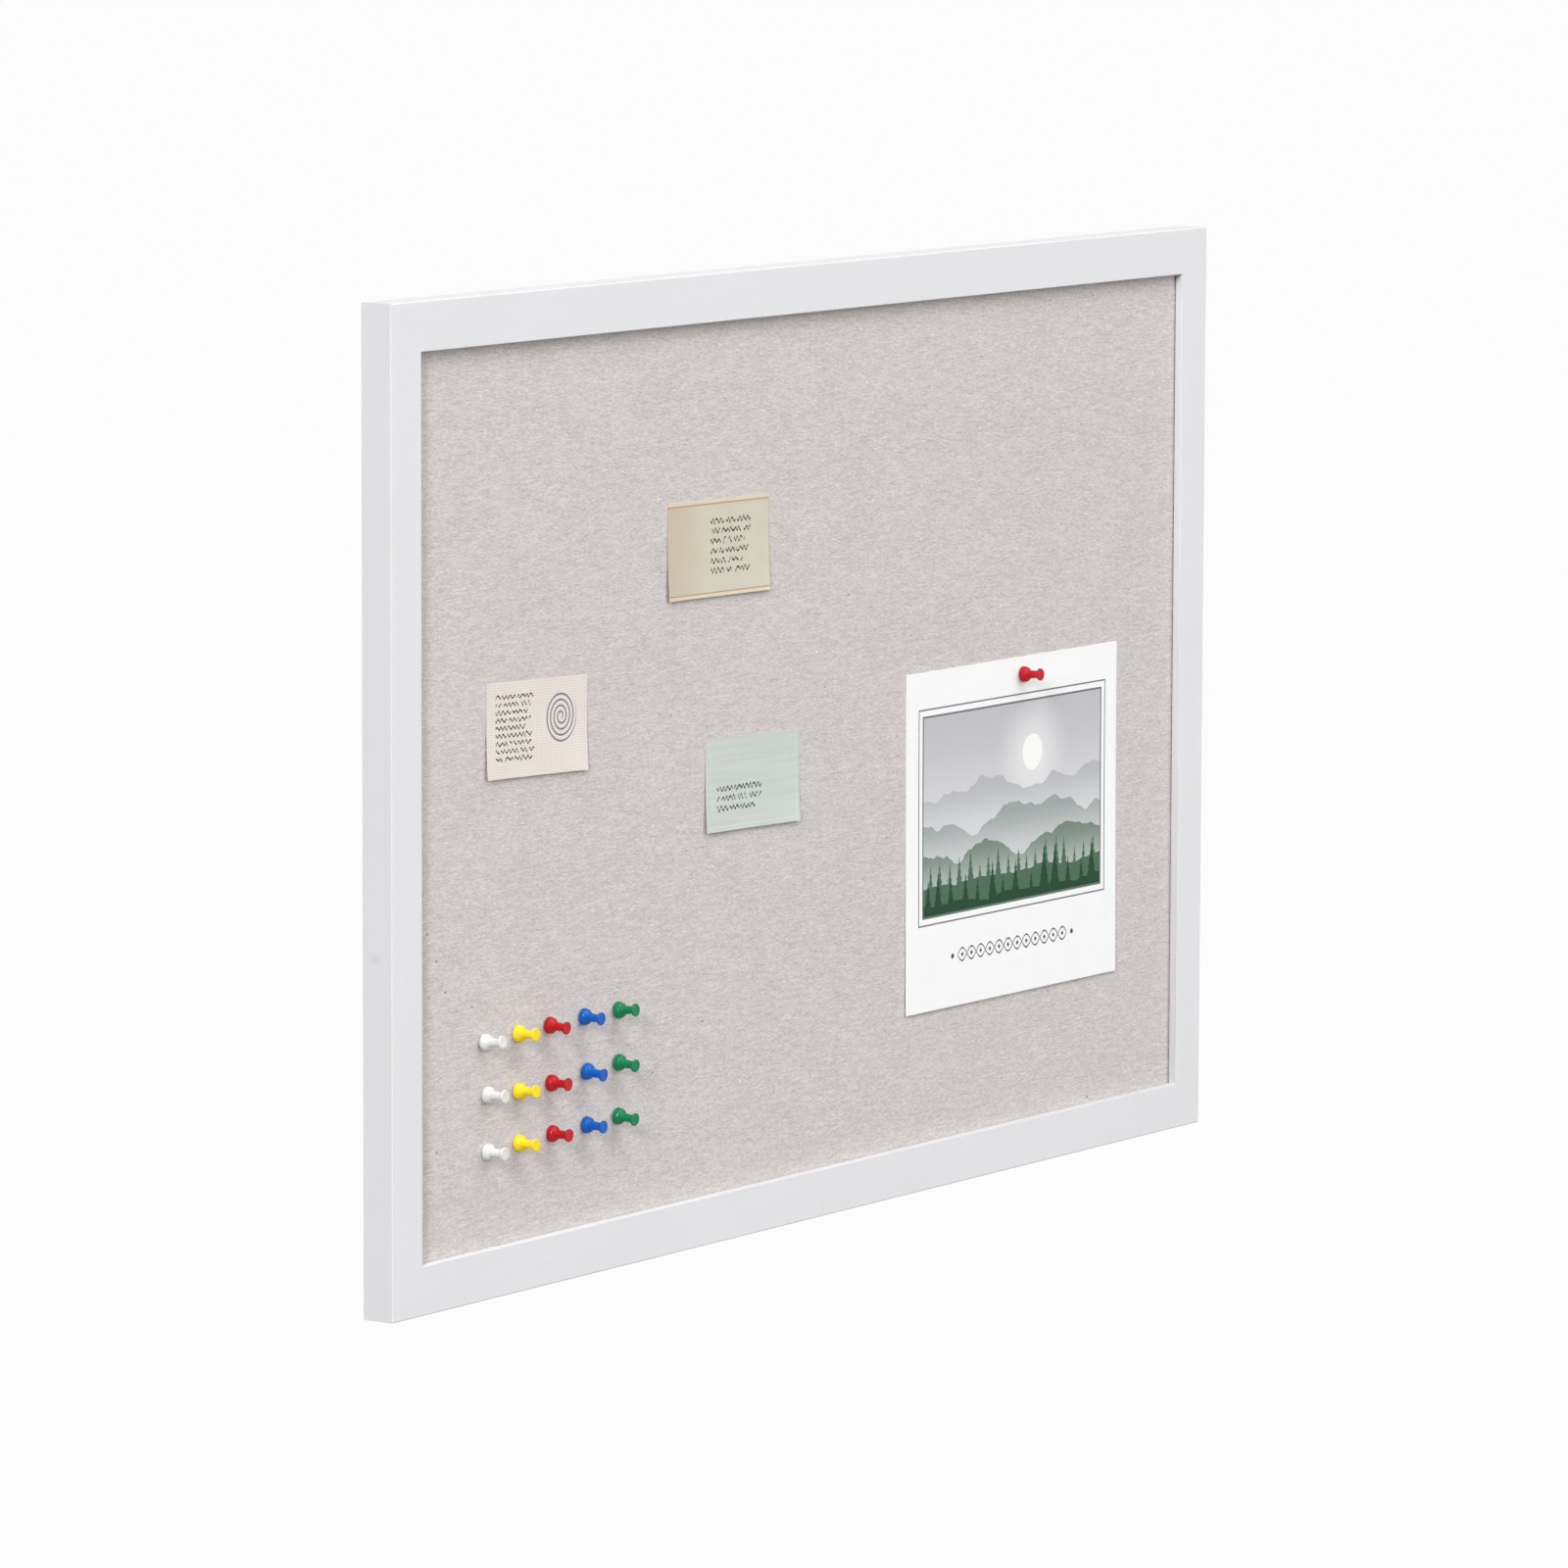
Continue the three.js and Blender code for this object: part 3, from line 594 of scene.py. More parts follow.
def plastic_finish(name, colour, deep, scatter):
    """Moulded glossy plastic: flow marks and a slightly uneven gloss."""
    finish = Finish(name)
    x, y, z = finish.place()
    flow = finish.noise(finish.at(x / 2.5, y / 2.5, z / 6))
    gloss = finish.noise(finish.at(x / 0.6, y / 0.6, z / 0.6))
    finish.set(
        Base_Color=finish.mix(0.4 + flow * 1.1, colour, deep),
        Roughness=0.1 + gloss * 0.08,
        Specular_IOR_Level=0.27,
        Subsurface_Weight=scatter,
        Subsurface_Radius=(1.0, 0.8, 0.6),
        Subsurface_Scale=1.2 * MM,
    )
    finish.bump(flow + gloss * 0.2, depth_mm=0.02, strength=0.25)
    return finish.material


def paper_base(finish, u, v, dark, light):
    """Paper stock: faint fibres and a soft unevenness between two tones."""
    fibres = finish.noise(finish.at(u / 0.5, v / 1.6), detail=3)
    cloud = finish.noise(finish.at(u / 26, v / 17))
    finish.set(Roughness=0.8, Specular_IOR_Level=0.25)
    finish.bump(fibres, depth_mm=0.03, strength=0.4)
    return finish.mix(0.5 + fibres * 0.35 + cloud * 1.1, dark, light)


def ruled(value, pitch, width):
    """1 on lines that repeat with that pitch."""
    off = abs((value / pitch).fraction() - 0.5) * pitch
    return off.fade(width * 0.75, width * 0.25)


def within(value, limit, soft):
    """1 below a limit, with a soft edge."""
    return value.fade(limit + soft, limit - soft)


def band(value, low, high, soft=0.1):
    """1 between two values."""
    return value.fade(low - soft, low + soft) * within(value, high, soft)


def line_at(value, place, width):
    return band(value, place - width / 2, place + width / 2)


def outline(u, v, left, low, right, high, width):
    """1 on the outline of a rectangle."""
    outer = band(u, left - width, right + width) * band(v, low - width, high + width)
    return outer - band(u, left, right) * band(v, low, high)


def pen_waves(finish, u, v, left, top, width, pitch, rows, stroke):
    """Rows of plain wavy pen strokes of uneven height, with gaps and ragged ends."""
    down = (top - v) / pitch
    row = down.floor()
    off = (down - row - 0.5) * pitch
    loose = finish.noise(finish.at(u / 6, row * 9.7), detail=1)
    swing = (u * 1.5 + loose * 7 + row * 2.1).sine() * (loose * 1.2 + 0.5) * (pitch * 0.4)
    ink = abs(off - swing).fade(stroke * 0.65, stroke * 0.35)
    gaps = finish.noise(finish.at(u / 4, row * 5.3, 4), detail=1).fade(-0.12, -0.08)
    end = finish.chance(row) * (width * 0.3) + (left + width * 0.7)
    inside = u.fade(left, left + 0.2) * (end - u).fade(0, 0.2)
    return ink * gaps * inside * band(row, -0.5, rows - 0.5)


def kraft_finish(wide, high):
    """Buff note paper with a fine woven grid, a brown rule above and below, and pen waves."""
    finish = Finish("kraft_note_paper")
    u, v = finish.paper()
    stock = paper_base(finish, u, v, *KRAFT_STOCK)
    # the stock grows darker towards the left edge
    darker_left = finish.mix(u.fade(wide * 0.46, 0) * 0.6, stock, KRAFT_LEFT_TONE)
    grid = ruled(u, pitch=1.7, width=0.5).most(ruled(v, pitch=1.3, width=0.4))
    woven = finish.mix(grid * 0.16, darker_left, KRAFT_WOVEN)
    low, top = LOW_RULE_MM, high - TOP_RULE_MM
    edge = v.fade(low - 0.1, low - 0.4).most(v.fade(top + 0.2, top + 0.5))
    margin = finish.mix(edge * 0.7, woven, KRAFT_MARGIN)
    rules = line_at(v, low, width=0.9).most(line_at(v, top, width=1.0))
    lined = finish.mix(rules * 0.85, margin, KRAFT_RULE)
    waves = pen_waves(finish, u, v, left=46, top=high - 11, width=50, pitch=6.2, rows=6, stroke=1.4)
    finish.set(Base_Color=finish.mix(waves * INK_SHARE, lined, KRAFT_INK))
    return finish.material


def grid_finish(wide, high):
    """Cream squared paper with a spiral doodle and pen waves."""
    finish = Finish("grid_note_paper")
    u, v = finish.paper()
    stock = paper_base(finish, u, v, *GRID_STOCK)
    squares = ruled(u, pitch=2.5, width=0.45).most(ruled(v, pitch=1.65, width=0.35))
    squared = finish.mix(squares * 0.42, stock, GRID_SQUARES)
    off_u = u - (wide - SPIRAL_INSET_MM)
    off_v = v - (high - SPIRAL_DROP_MM)
    reach = (off_u * off_u + off_v * off_v).root()
    turn = finish.math("ARCTAN2", off_v, off_u) / FULL_TURN
    coil = abs((reach / SPIRAL_PITCH_MM - turn).fraction() - 0.5) * SPIRAL_PITCH_MM
    spiral = coil.fade(0.75, 0.4) * band(reach, SPIRAL_EYE_MM, SPIRAL_RADIUS_MM, SPIRAL_SOFT_MM)
    drawn = finish.mix(spiral * 0.85, squared, GRID_SPIRAL)
    waves = pen_waves(finish, u, v, left=9, top=high - 7, width=44, pitch=4.7, rows=9, stroke=1.2)
    finish.set(Base_Color=finish.mix(waves * INK_SHARE, drawn, GRID_INK))
    return finish.material


def mint_finish(wide, high):
    """Pale green note paper with soft bands, inset edge lines and a few pen waves."""
    finish = Finish("mint_note_paper")
    u, v = finish.paper()
    stock = paper_base(finish, u, v, *MINT_STOCK)
    soft = finish.noise(finish.at(u / 120, v / 3.4))
    banded = finish.mix(soft.fade(-0.12, 0.16) * 0.6, stock, MINT_BAND)
    inset = line_at(u, wide - SIDE_LINE_MM, width=0.6).most(line_at(v, FOOT_LINE_MM, width=0.6))
    edged = finish.mix(inset * 0.5, banded, MINT_LINE)
    waves = pen_waves(finish, u, v, left=12, top=high - 29, width=56, pitch=6.2, rows=3, stroke=1.4)
    finish.set(Base_Color=finish.mix(waves * INK_SHARE, edged, MINT_INK))
    return finish.material


def fir_row(finish, u, v, scene, ground, pitch, tall, tone):
    """A row of plain fir shapes of uneven height, with the ground that they stand on."""
    place = u / pitch
    tree = place.floor()
    middle = abs(place - tree - 0.5 + (finish.chance(tree, ground) - 0.5) * 0.3) * pitch
    height = finish.chance(tree, ground * 3) * (tall * 0.55) + tall * 0.45
    rise = v - ground
    below_tip = height - rise
    tier = ((rise + middle * 0.4) / 4.2).fraction() * (below_tip * 0.12).least(1.3)
    half = below_tip * 0.22 - tier
    fir = (half - middle).fade(-PRINT_SOFT_MM, PRINT_SOFT_MM) * rise.fade(0, 0.1)
    hummock = finish.noise(finish.at(u / 36, ground), detail=3) * 14 + (ground + 2)
    earth = (hummock - v).fade(-PRINT_SOFT_MM, PRINT_SOFT_MM)
    return finish.mix(fir.most(earth), scene, tone)


def hill_picture(finish, u, v, low, top):
    """Pale hills in mist under a low sun, with two rows of firs in front."""
    sky = finish.mix(v.fade(low + HAZE_TOP_MM, top), HAZE_TONE, ZENITH_TONE)
    sun_u = u - SUN_RIGHT_MM
    sun_v = v - (top - SUN_DROP_MM)
    reach = (sun_u * sun_u + sun_v * sun_v).root()
    glow = finish.mix(reach.fade(GLOW_RADIUS_MM, GLOW_CORE_MM) * 0.6, sky, GLOW_TONE)
    scene = finish.mix(within(reach, SUN_RADIUS_MM, SUN_SOFT_MM), glow, SUN_TONE)
    for step, (base, swing, length, tone, mist) in enumerate(HILLS):
        ridge = finish.noise(finish.at(u / length, step * 7.3), detail=3) * swing + base
        slope = finish.mix(v.fade(base + HILL_MIST_TOP_MM, base - HILL_MIST_DEPTH_MM), tone, mist)
        scene = finish.mix((ridge - v).fade(-PRINT_SOFT_MM, PRINT_SOFT_MM), scene, slope)
    for ground, pitch, tall, tone in FIRS:
        scene = fir_row(finish, u, v, scene, ground, pitch, tall, tone)
    return scene


def twist_ornament(u, v, middle):
    """Two interlaced waves with a diamond in each loop and a dot at each end."""
    along = u - (middle - ORNAMENT_HALF_MM)
    rise = v - ORNAMENT_RISE_MM
    wave = (along * (FULL_TURN / ORNAMENT_PERIOD_MM)).sine() * ORNAMENT_SWING_MM
    strand = abs(rise - wave).least(abs(rise + wave))
    loop = ORNAMENT_PERIOD_MM / 2
    in_loop = abs((along / loop).fraction() - 0.5) * loop
    diamond = within(in_loop + abs(rise), DIAMOND_MM, PRINT_SOFT_MM)
    inside = band(along, 0, 2 * ORNAMENT_HALF_MM)
    end_u = abs(u - middle) - (ORNAMENT_HALF_MM + DOT_GAP_MM)
    dots = within(end_u * end_u + rise * rise, DOT_MM2, DOT_SOFT_MM2)
    stroke = strand.fade(ORNAMENT_STROKE_MM * 0.65, ORNAMENT_STROKE_MM * 0.35)
    return (stroke.most(diamond) * inside).most(dots)


def card_finish(wide, high):
    """White card with a misty hill picture in a double outline and a twisted ornament below."""
    finish = Finish("display_card_print")
    u, v = finish.paper()
    stock = paper_base(finish, u, v, *CARD_STOCK)
    left, right = PICTURE_SIDE_MM, wide - PICTURE_SIDE_MM
    low, top = PICTURE_FOOT_MM, high - PICTURE_HEAD_MM
    inside = band(u, left, right) * band(v, low, top)
    printed = finish.mix(inside, stock, hill_picture(finish, u, v, low, top))
    gap = OUTLINE_GAP_MM
    near = outline(u, v, left, low, right, top, OUTLINE_MM)
    far = outline(u, v, left - gap, low - gap, right + gap, top + gap, SECOND_OUTLINE_MM)
    outlined = finish.mix(near.most(far) * 0.9, printed, CARD_OUTLINE)
    ornament = twist_ornament(u, v, wide / 2)
    finish.set(Base_Color=finish.mix(ornament * INK_SHARE, outlined, CARD_INK))
    return finish.material


def node_points(node):
    return np.array([vertex.co for vertex in frame["nodes"][node].data.vertices], float)


def make_piece(name, points, faces, material=None, sharp_angle=None):
    """A mesh object; faces meeting at less than the sharp angle (degrees) are shaded smooth."""
    mesh = bpy.data.meshes.new(name)
    mesh.from_pydata([tuple(point) for point in points], [], faces)
    mesh.update()
    if material:
        mesh.materials.append(material)
    if sharp_angle:
        mesh.shade_smooth()
        mesh.set_sharp_from_angle(angle=math.radians(sharp_angle))
    piece = bpy.data.objects.new(name, mesh)
    bpy.context.scene.collection.objects.link(piece)
    return piece


def apply_modifiers(piece):
    bpy.context.view_layer.update()
    graph = bpy.context.evaluated_depsgraph_get()
    mesh = bpy.data.meshes.new_from_object(piece.evaluated_get(graph))
    piece.modifiers.clear()
    piece.data = mesh


def cut(piece, cutter):
    """Takes a cutter's shape out of a piece and removes the cutter."""
    modifier = piece.modifiers.new("cut", "BOOLEAN")
    modifier.operation = "DIFFERENCE"
    modifier.solver = "EXACT"
    modifier.object = cutter
    apply_modifiers(piece)
    bpy.data.objects.remove(cutter)


def settle(piece, body, slot, node):
    """Puts a piece on its body in place of its CAD node, which it hides; the slot is not used."""
    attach(piece, body)
    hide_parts(node)


def turned(profile, sides):
    """A turned form about Z, from (radius, height) points whose first and last lie on the axis."""
    points = [(0, 0, profile[0][1])]
    for radius, height in profile[1:-1]:
        for side in range(sides):
            angle = FULL_TURN * side / sides
            points.append((radius * math.cos(angle), radius * math.sin(angle), height))
    points.append((0, 0, profile[-1][1]))
    rings = len(profile) - 2
    last = 1 + (rings - 1) * sides
    faces = []
    for side in range(sides):
        after = (side + 1) % sides
        faces.append((0, 1 + after, 1 + side))
        for ring in range(rings - 1):
            near = 1 + ring * sides
            far = near + sides
            faces.append((near + side, near + after, far + after, far + side))
        faces.append((len(points) - 1, last + side, last + after))
    return points, faces


def arc(centre_radius, centre_height, radius_across, radius_up, start, end, steps):
    """Points of an elliptical arc in a turned profile, angles in quarter turns."""
    points = []
    for step in range(steps + 1):
        angle = (start + (end - start) * step / steps) * FULL_TURN / 4
        across = centre_radius + radius_across * math.cos(angle)
        points.append((across, centre_height + radius_up * math.sin(angle)))
    return points


def upright_on(axis, foot):
    """The matrix that stands Z along an axis, at a foot."""
    turn = Vector(axis).normalized().to_track_quat("Z", "Y").to_matrix().to_4x4()
    return Matrix.Translation(foot) @ turn


def rod(radius, low, high):
    """A round bar about Z."""
    return turned([(0, low), (radius, low), (radius, high), (0, high)], NEEDLE_SIDES)


def pin_head_profile():
    fillet = PIN_ROOT_FILLET
    edge = PIN_EDGE_ROUND
    socket = NEEDLE_RADIUS + NEEDLE_FIT
    dome_top = PIN_FLANGE_RIM + PIN_DOME
    dome_width = PIN_FLANGE_RADIUS - PIN_WAIST_RADIUS - fillet / 2
    dome_centre = PIN_FLANGE_RADIUS - dome_width
    cap_foot = PIN_LENGTH - PIN_CAP_RIM - edge
    flare_foot = cap_foot - PIN_CAP_FLARE
    flare_width = PIN_CAP_RADIUS - PIN_NECK_RADIUS
    return [
        (0, NEEDLE_SOCKET),
        (socket, NEEDLE_SOCKET),
        (socket, 0),
        *arc(PIN_FLANGE_RADIUS - edge, edge, edge, edge, -1, 0, PIN_EDGE_STEPS),
        *arc(dome_centre, PIN_FLANGE_RIM, dome_width, PIN_DOME, 0, PIN_DOME_STOP, PIN_CURVE_STEPS),
        *arc(PIN_WAIST_RADIUS + fillet, dome_top + PIN_ROOT_RISE, fillet, fillet, 3, 2, PIN_EDGE_STEPS),
        *arc(PIN_CAP_RADIUS, flare_foot, flare_width, PIN_CAP_FLARE, 2, PIN_FLARE_STOP, PIN_CURVE_STEPS),
        (PIN_CAP_RADIUS, cap_foot + edge / 2),
        *arc(PIN_CAP_RADIUS - edge, PIN_LENGTH - edge, edge, edge, 0, 1, PIN_EDGE_STEPS),
        (PIN_DISH_RADIUS, PIN_LENGTH - PIN_DISH_SLOPE),
        (0, PIN_LENGTH - PIN_CAP_DISH),
    ]


def needle_profile():
    head = NEEDLE_SOCKET - NEEDLE_FIT
    return [
        (0, -NEEDLE_REACH),
        (NEEDLE_TIP_RADIUS, NEEDLE_TIP - NEEDLE_REACH),
        (NEEDLE_RADIUS, NEEDLE_POINT - NEEDLE_REACH),
        (NEEDLE_RADIUS, head),
        (0, head),
    ]


def pin_places():
    """Each pin's name, and the matrix that stands Z along its needle at the foot of its flange."""
    places = {}
    for joint in frame["joints"]:
        if joint["type"] == "slide":
            name = joint["child"]
            axis = Vector(joint["axis"]).normalized()
            points = node_points(name + "_needle")
            tip = Vector(points[np.argmin(points @ np.array(axis))])
            places[name] = upright_on(axis, tip + axis * NEEDLE_REACH)
    return places


def add_pins():
    steel = steel_finish("needle_polish", roughness=0.18)
    head_form = turned(pin_head_profile(), PIN_SIDES)
    needle_form = turned(needle_profile(), NEEDLE_SIDES)
    finishes = {
        colour: plastic_finish(colour + "_gloss", *tones) for colour, tones in PIN_COLOURS.items()
    }
    for name, place in pin_places().items():
        colour = "red" if name == "card_pin" else name.split("_")[0]
        grip = make_piece(name + "_grip", *head_form, finishes[colour], sharp_angle=40)
        grip.matrix_world = place
        settle(grip, name, colour + "_plastic", name + "_head")
        spike = make_piece(name + "_spike", *needle_form, steel, sharp_angle=50)
        spike.matrix_world = place
        settle(spike, name, "needle_steel", name + "_needle")


def puncture_cutter():
    """Needle holes through the linen, one for each pin."""
    points, faces = [], []
    for place in pin_places().values():
        rod_points, rod_faces = rod(PUNCTURE_RADIUS, -NEEDLE_REACH, 0)
        faces += [tuple(len(points) + index for index in face) for face in rod_faces]
        points += [place @ Vector(point) for point in rod_points]
    return make_piece("puncture_cutter", points, faces)


def linen_form(low, high):
    """The cloth's outer face: over the front of the panel, round its edges and onto its back."""
    form = bmesh.new()
    columns = round((high.x - low.x) / LINEN_CELL)
    rows = round((high.z - low.z) / LINEN_CELL)
    bmesh.ops.create_grid(form, x_segments=columns, y_segments=rows, size=0.5)
    for vertex in form.verts:
        across = (vertex.co.x + 0.5) * (high.x - low.x)
        up = (vertex.co.y + 0.5) * (high.z - low.z)
        vertex.co = (low.x + across, low.y, low.z + up)

    def to_back(spot):
        return spot.x, high.y, spot.z

    def turned_in(spot):
        inset_x = max(low.x + LINEN_TURN, min(high.x - LINEN_TURN, spot.x))
        inset_z = max(low.z + LINEN_TURN, min(high.z - LINEN_TURN, spot.z))
        return inset_x, high.y, inset_z

    for move in (to_back, turned_in):
        edges = [edge for edge in form.edges if edge.is_boundary]
        grown = bmesh.ops.extrude_edge_only(form, edges=edges)["geom"]
        for vertex in grown:
            if isinstance(vertex, bmesh.types.BMVert):
                vertex.co = move(vertex.co)
    bmesh.ops.remove_doubles(form, verts=form.verts, dist=LINEN_WELD)
    bmesh.ops.recalc_face_normals(form, faces=form.faces)
    return form


def add_linen():
    low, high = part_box("linen_cover")
    form = linen_form(low, high)
    cloth = make_piece("linen_cloth", [], [], linen_finish())
    form.to_mesh(cloth.data)
    form.free()
    thick = cloth.modifiers.new("thickness", "SOLIDIFY")
    thick.thickness = LINEN_THICKNESS
    thick.offset = -1
    thick.use_even_offset = True
    apply_modifiers(cloth)
    cut(cloth, puncture_cutter())
    settle(cloth, "board", "linen", "linen_cover")


def paper_sheet(name, corner, across, down, size, thickness, lift, material):
    """A closed sheet of paper in front of the board; lift gives how far each point stands off."""
    width, height = size
    columns = round(width / PAPER_CELL)
    rows = round(height / PAPER_CELL)
    points, flat = [], []
    for layer in (0, 1):
        for row in range(rows + 1):
            for column in range(columns + 1):
                u, v = width * column / columns, height * row / rows
                place = corner + across * u + down * v
                place.y -= lift(u, v) + layer * thickness
                points.append(place)
                flat.append((u, height - v))
    step = columns + 1
    front = step * (rows + 1)
    faces = []
    for row in range(rows):
        for column in range(columns):
            first = row * step + column
            back = (first, first + 1, first + step + 1, first + step)
            faces.append(back)
            faces.append(tuple(front + index for index in reversed(back)))
    rim = list(range(columns))
    rim += [row * step + columns for row in range(rows)]
    rim += [rows * step + column for column in range(columns, 0, -1)]
    rim += [row * step for row in range(rows, 0, -1)]
    for first, second in zip(rim, rim[1:] + rim[:1]):
        faces.append((second, first, front + first, front + second))
    piece = make_piece(name, points, faces, material, sharp_angle=40)
    uv_layer = piece.data.uv_layers.new(name="sheet")
    for loop in piece.data.loops:
        uv_layer.data[loop.index].uv = flat[loop.vertex_index]
    return piece


def add_note(kind, finish):
    """A self-stick note: held along its top edge, free below, where it bows out from the board."""
    node = kind + "_note"
    hinge = JOINTS[node + "_lift"]
    middle = Vector(hinge["pos_m"])
    across = -Vector(hinge["axis"]).normalized()
    down = Vector((across.z, 0, -across.x))
    points = node_points(node) - np.array(middle)
    width = float(np.ptp(points @ np.array(across)))
    height = float((points @ np.array(down)).max())

    def lift(u, v):
        fall = v / height
        edge = abs(2 * u / width - 1)
        return NOTE_BOW * fall ** 2 + NOTE_CORNER_LIFT * fall ** 3 * edge ** 4

    corner = middle - across * (width / 2)
    size = (width, height)
    material = finish(width / MM, height / MM)
    note = paper_sheet(kind + "_leaf", corner, across, down, size, NOTE_THICKNESS, lift, material)
    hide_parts(node)
    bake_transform(note)


def add_card():
    low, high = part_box("display_card")
    pin = Vector(JOINTS["card_swing"]["pos_m"])
    size = (high.x - low.x, high.z - low.z)
    held = 2 * (high.z - pin.z)

    def lift(_, v):
        return CARD_BOW * (max(0, v - held) / (size[1] - held)) ** 2

    corner = Vector((low.x, high.y, high.z))
    right, down = Vector((1, 0, 0)), Vector((0, 0, -1))
    material = card_finish(size[0] / MM, size[1] / MM)
    card = paper_sheet("card_leaf", corner, right, down, size, CARD_THICKNESS, lift, material)
    hole = make_piece("hole", *rod(CARD_HOLE_RADIUS, -PIN_LENGTH, PIN_LENGTH))
    hole.matrix_world = upright_on((0, -1, 0), pin)
    cut(card, hole)
    settle(card, "card", "card_paper", "display_card")


def swept_tube(path, normal, radius, sides):
    """A tube along points of a flat path, closed at both ends."""
    points, faces = [], []
    for index, place in enumerate(path):
        ahead = path[min(index + 1, len(path) - 1)]
        behind = path[max(index - 1, 0)]
        side = (ahead - behind).normalized().cross(normal)
        for step in range(sides):
            angle = FULL_TURN * step / sides
            points.append(place + (side * math.cos(angle) + normal * math.sin(angle)) * radius)
    for index in range(len(path) - 1):
        near = index * sides
        far = near + sides
        for step in range(sides):
            after = (step + 1) % sides
            faces.append((near + step, near + after, far + after, far + step))
    faces.append(tuple(reversed(range(sides))))
    faces.append(tuple(range(len(points) - sides, len(points))))
    return points, faces


def ring_path(middle, across, reach):
    """Centreline of the hanger ring: a bar in the strap, two corners and a bow."""
    corner = RING_HALF_WIDTH - RING_CORNER
    bow = RING_REACH - RING_HALF_WIDTH
    flat = [(RING_BUTT_GAP / 2, 0)]
    flat += arc(corner, RING_CORNER, RING_CORNER, RING_CORNER, -1, 0, RING_CORNER_STEPS)
    flat += arc(0, bow, RING_HALF_WIDTH, RING_HALF_WIDTH, 0, 2, RING_BOW_STEPS)
    flat += arc(-corner, RING_CORNER, RING_CORNER, RING_CORNER, 2, 3, RING_CORNER_STEPS)
    flat += [(-RING_BUTT_GAP / 2, 0)]
    return [middle + across * u + reach * v for u, v in flat]


def screw_profile(length):
    head, shank = SCREW_HEAD_RADIUS, SCREW_SHANK_RADIUS
    dome = SCREW_HEAD_HEIGHT - SCREW_HEAD_RIM
    return [
        (0, -length),
        (shank, SCREW_POINT - length),
        (shank, 0),
        (head - SCREW_HEAD_EDGE, 0),
        (head, SCREW_HEAD_EDGE),
        *arc(0, SCREW_HEAD_RIM, head, dome, 0, SCREW_DOME_STOP, SCREW_DOME_STEPS),
        (0, SCREW_HEAD_HEIGHT),
    ]


def recess_cutter(place):
    """The crossed slot of a screw head, narrowing inwards."""
    half, span = RECESS_WIDTH / 2, RECESS_SPAN / 2
    cross = []
    for quarter in range(4):
        turn = Matrix.Rotation(FULL_TURN * quarter / 4, 3, "Z")
        cross += [turn @ Vector(spot) for spot in ((span, -half, 0), (span, half, 0), (half, half, 0))]
    count = len(cross)
    points = []
    for height, share in ((-RECESS_DEPTH, RECESS_FOOT_SHARE), (RECESS_DEPTH, RECESS_MOUTH_SHARE)):
        lift = Vector((0, 0, SCREW_HEAD_HEIGHT + height))
        points += [place @ (spot * share + lift) for spot in cross]
    faces = [tuple(reversed(range(count))), tuple(range(count, 2 * count))]
    for index in range(count):
        after = (index + 1) % count
        faces.append((index, after, count + after, count + index))
    return make_piece("recess_cutter", points, faces)


def dressed_copy(node, name, material, sharp_angle, edge=None):
    """A node's own shape with its seams welded, soft edges and even shading."""
    form = bmesh.new()
    form.from_mesh(frame["nodes"][node].data)
    bmesh.ops.remove_doubles(form, verts=form.verts, dist=SEAM_WELD)
    flat_angle = math.radians(FLAT_ANGLE)
    bmesh.ops.dissolve_limit(form, angle_limit=flat_angle, verts=form.verts, edges=form.edges)
    form.verts.index_update()
    points = [vertex.co.copy() for vertex in form.verts]
    faces = [tuple(vertex.index for vertex in face.verts) for face in form.faces]
    form.free()
    piece = make_piece(name, points, faces, material, sharp_angle)
    if edge:
        bevel = piece.modifiers.new("edge", "BEVEL")
        bevel.width = edge
        bevel.segments = 2
        bevel.limit_method = "ANGLE"
        bevel.angle_limit = math.radians(STRAP_EDGE_ANGLE)
    even = piece.modifiers.new("even", "WEIGHTED_NORMAL")
    even.keep_sharp = True
    apply_modifiers(piece)
    return piece


def add_hanger(side, steel):
    hinge = JOINTS[f"ring_{side}_swing"]
    middle, across = Vector(hinge["pos_m"]), Vector(hinge["axis"]).normalized()
    ring_node = f"hanger_ring_{side}"
    reach = Vector(node_points(ring_node).mean(0)) - middle
    reach = (reach - across * reach.dot(across)).normalized()
    path = ring_path(middle, across, reach)
    tube = swept_tube(path, across.cross(reach), RING_WIRE_RADIUS, RING_SIDES)
    ring = make_piece(f"ring_wire_{side}", *tube, steel, sharp_angle=60)
    settle(ring, f"ring_{side}", "steel", ring_node)

    strap_node = f"hanger_strap_{side}"
    strap = dressed_copy(strap_node, f"strap_plate_{side}", steel, sharp_angle=35, edge=STRAP_EDGE)
    settle(strap, "board", "steel", strap_node)

    screw_node = f"hanger_screw_{side}"
    low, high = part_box(screw_node)
    length = high.y - low.y - SCREW_HEAD_HEIGHT
    place = upright_on((0, 1, 0), Vector(((low.x + high.x) / 2, low.y + length, (low.z + high.z) / 2)))
    form = turned(screw_profile(length), SCREW_SIDES)
    screw = make_piece(f"screw_{side}", *form, steel, sharp_angle=40)
    screw.matrix_world = place
    cut(screw, recess_cutter(place))
    settle(screw, "board", "steel", screw_node)


def close_mitres(piece, is_rail):
    """Draws a member's ends up to the mitre planes, to leave a hairline."""
    for vertex in piece.data.vertices:
        spot = vertex.co
        off = (HALF_WIDTH - abs(spot.x)) - (HALF_HEIGHT - abs(spot.z))
        if abs(off) > MITRE_REACH:
            continue
        if is_rail:
            spot.x = math.copysign(abs(spot.x) + off - MITRE_HAIRLINE / 2, spot.x)
        else:
            spot.z = math.copysign(abs(spot.z) - off - MITRE_HAIRLINE / 2, spot.z)


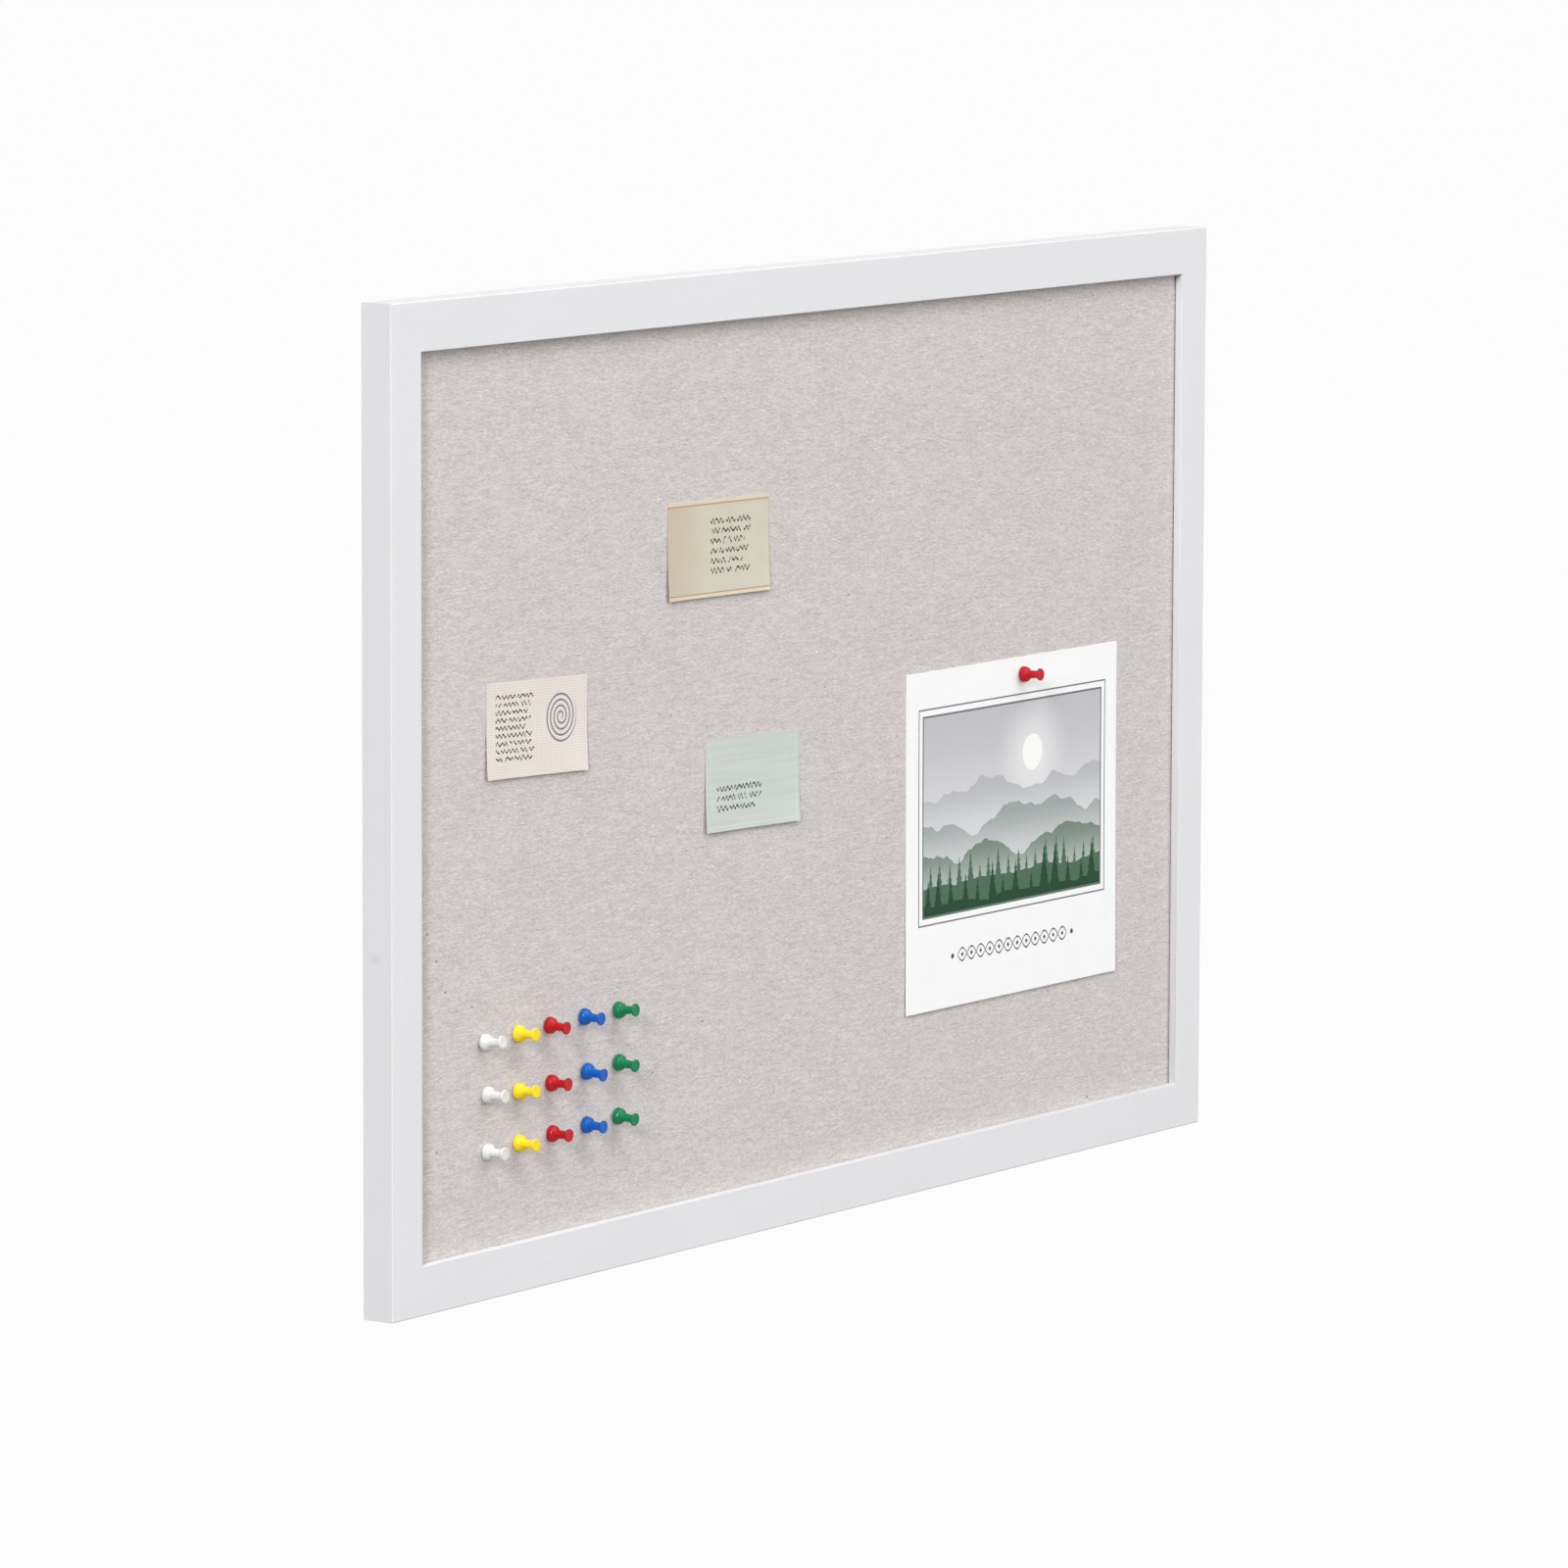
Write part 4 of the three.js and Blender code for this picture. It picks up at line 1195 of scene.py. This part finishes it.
def add_frame():
    lying = paint_finish("frame_paint_lying", "x")
    members = {
        "top_rail": lying,
        "bottom_rail": lying,
        "left_stile": paint_finish("frame_paint_left", "z", filled_hole=True),
        "right_stile": paint_finish("frame_paint_right", "z"),
    }
    for node, material in members.items():
        piece = dressed_copy(node, node + "_painted", material, sharp_angle=50)
        close_mitres(piece, is_rail=material is lying)
        settle(piece, "board", "frame_paint", node)


def dress_nodes():
    """Finishes for the solids that keep their own shape."""
    steel = steel_finish("stamped_steel", roughness=0.4)
    hardboard = fibre_finish("hardboard_face", HARDBOARD_DEEP, HARDBOARD_PALE, roughness=0.55)
    core = fibre_finish("fibreboard_core", CORE_DEEP, CORE_PALE, roughness=0.92)
    for name, node in frame["nodes"].items():
        if name.startswith(("corner_nail", "flex_point")):
            node.data.materials[0] = steel
    frame["nodes"]["backing_board"].data.materials[0] = hardboard
    frame["nodes"]["pin_panel"].data.materials[0] = core


def add_sky():
    """A sky that is brightest at the horizon and on the right, and plain white where it is seen."""
    world = bpy.data.worlds.new("studio")
    bpy.context.scene.world = world
    world.use_nodes = True
    sky = Nodes(world.node_tree)
    right, _, rise = sky.parts(sky.field("TexCoord", "Generated"), 1.0)
    upright = SKY_AT_HORIZON - abs(rise) * (SKY_AT_HORIZON - SKY_OVERHEAD)
    level = upright * (right * SKY_TILT_RIGHT + 1)
    background = sky.tree.nodes["Background"]
    background.inputs["Color"].default_value = WHITE
    sky.feed(background.inputs["Strength"], level + (1 - level) * sky.seen_directly())


def add_floor():
    half, height = FLOOR_SIZE / 2, cad_box[0].z - FLOOR_DROP
    corners = [(x, y, height) for x, y in ((-half, -half), (half, -half), (half, half), (-half, half))]
    material = bpy.data.materials.new("studio_floor")
    material.use_nodes = True
    floor = Nodes(material.node_tree)
    floor.tree.nodes.remove(floor.tree.nodes["Principled BSDF"])
    matt = floor.field("BsdfDiffuse", "BSDF", {"Color": srgb(FLOOR_GREY, FLOOR_GREY, FLOOR_GREY)})
    white = floor.field("Emission", "Emission", {"Color": WHITE})
    mixed = floor.node("MixShader", {"Fac": floor.seen_directly() * FLOOR_WHITE_SHARE})
    floor.feed(mixed.inputs[1], matt)
    floor.feed(mixed.inputs[2], white)
    floor.tree.links.new(mixed.outputs["Shader"], floor.tree.nodes["Material Output"].inputs["Surface"])
    make_piece("studio_floor", corners, [(0, 1, 2, 3)], material)


def add_lamp(name, towards, width, height, level):
    light = bpy.data.lights.new(name, "AREA")
    light.shape = "RECTANGLE"
    light.size = width
    light.size_y = height
    light.energy = level * (math.pi * LAMP_DISTANCE) ** 2
    lamp = bpy.data.objects.new(name, light)
    lamp.location = towards.normalized() * LAMP_DISTANCE
    lamp.rotation_euler = towards.to_track_quat("Z", "Y").to_euler()
    lamp.visible_camera = False
    bpy.context.scene.collection.objects.link(lamp)


def add_camera():
    lens = bpy.data.cameras.new("photo_view")
    lens.lens = CAMERA_LENS
    lens.sensor_width = CAMERA_SENSOR
    lens.clip_end = FLOOR_SIZE * 2
    camera = bpy.data.objects.new("photo_view", lens)
    level = math.cos(CAMERA_ELEVATION)
    back = Vector((
        math.sin(CAMERA_AZIMUTH) * level,
        -math.cos(CAMERA_AZIMUTH) * level,
        math.sin(CAMERA_ELEVATION),
    ))
    facing = (-back).to_track_quat("-Z", "Y").to_matrix().to_4x4()
    roll = Matrix.Rotation(CAMERA_ROLL, 4, "Z")
    camera.matrix_world = Matrix.Translation(CAMERA_AIM + back * CAMERA_DISTANCE) @ facing @ roll
    bpy.context.scene.collection.objects.link(camera)
    bpy.context.scene.camera = camera


add_camera()
add_sky()
add_floor()
for name, lamp in LAMPS.items():
    add_lamp(name, *lamp)
dress_nodes()
add_frame()
add_linen()
add_card()
add_note("kraft", kraft_finish)
add_note("grid", grid_finish)
add_note("mint", mint_finish)
add_pins()
for side in ("left", "right"):
    add_hanger(side, steel_finish("zinc_plate_" + side, roughness=0.34))

bpy.context.scene.view_settings.view_transform = "Standard"
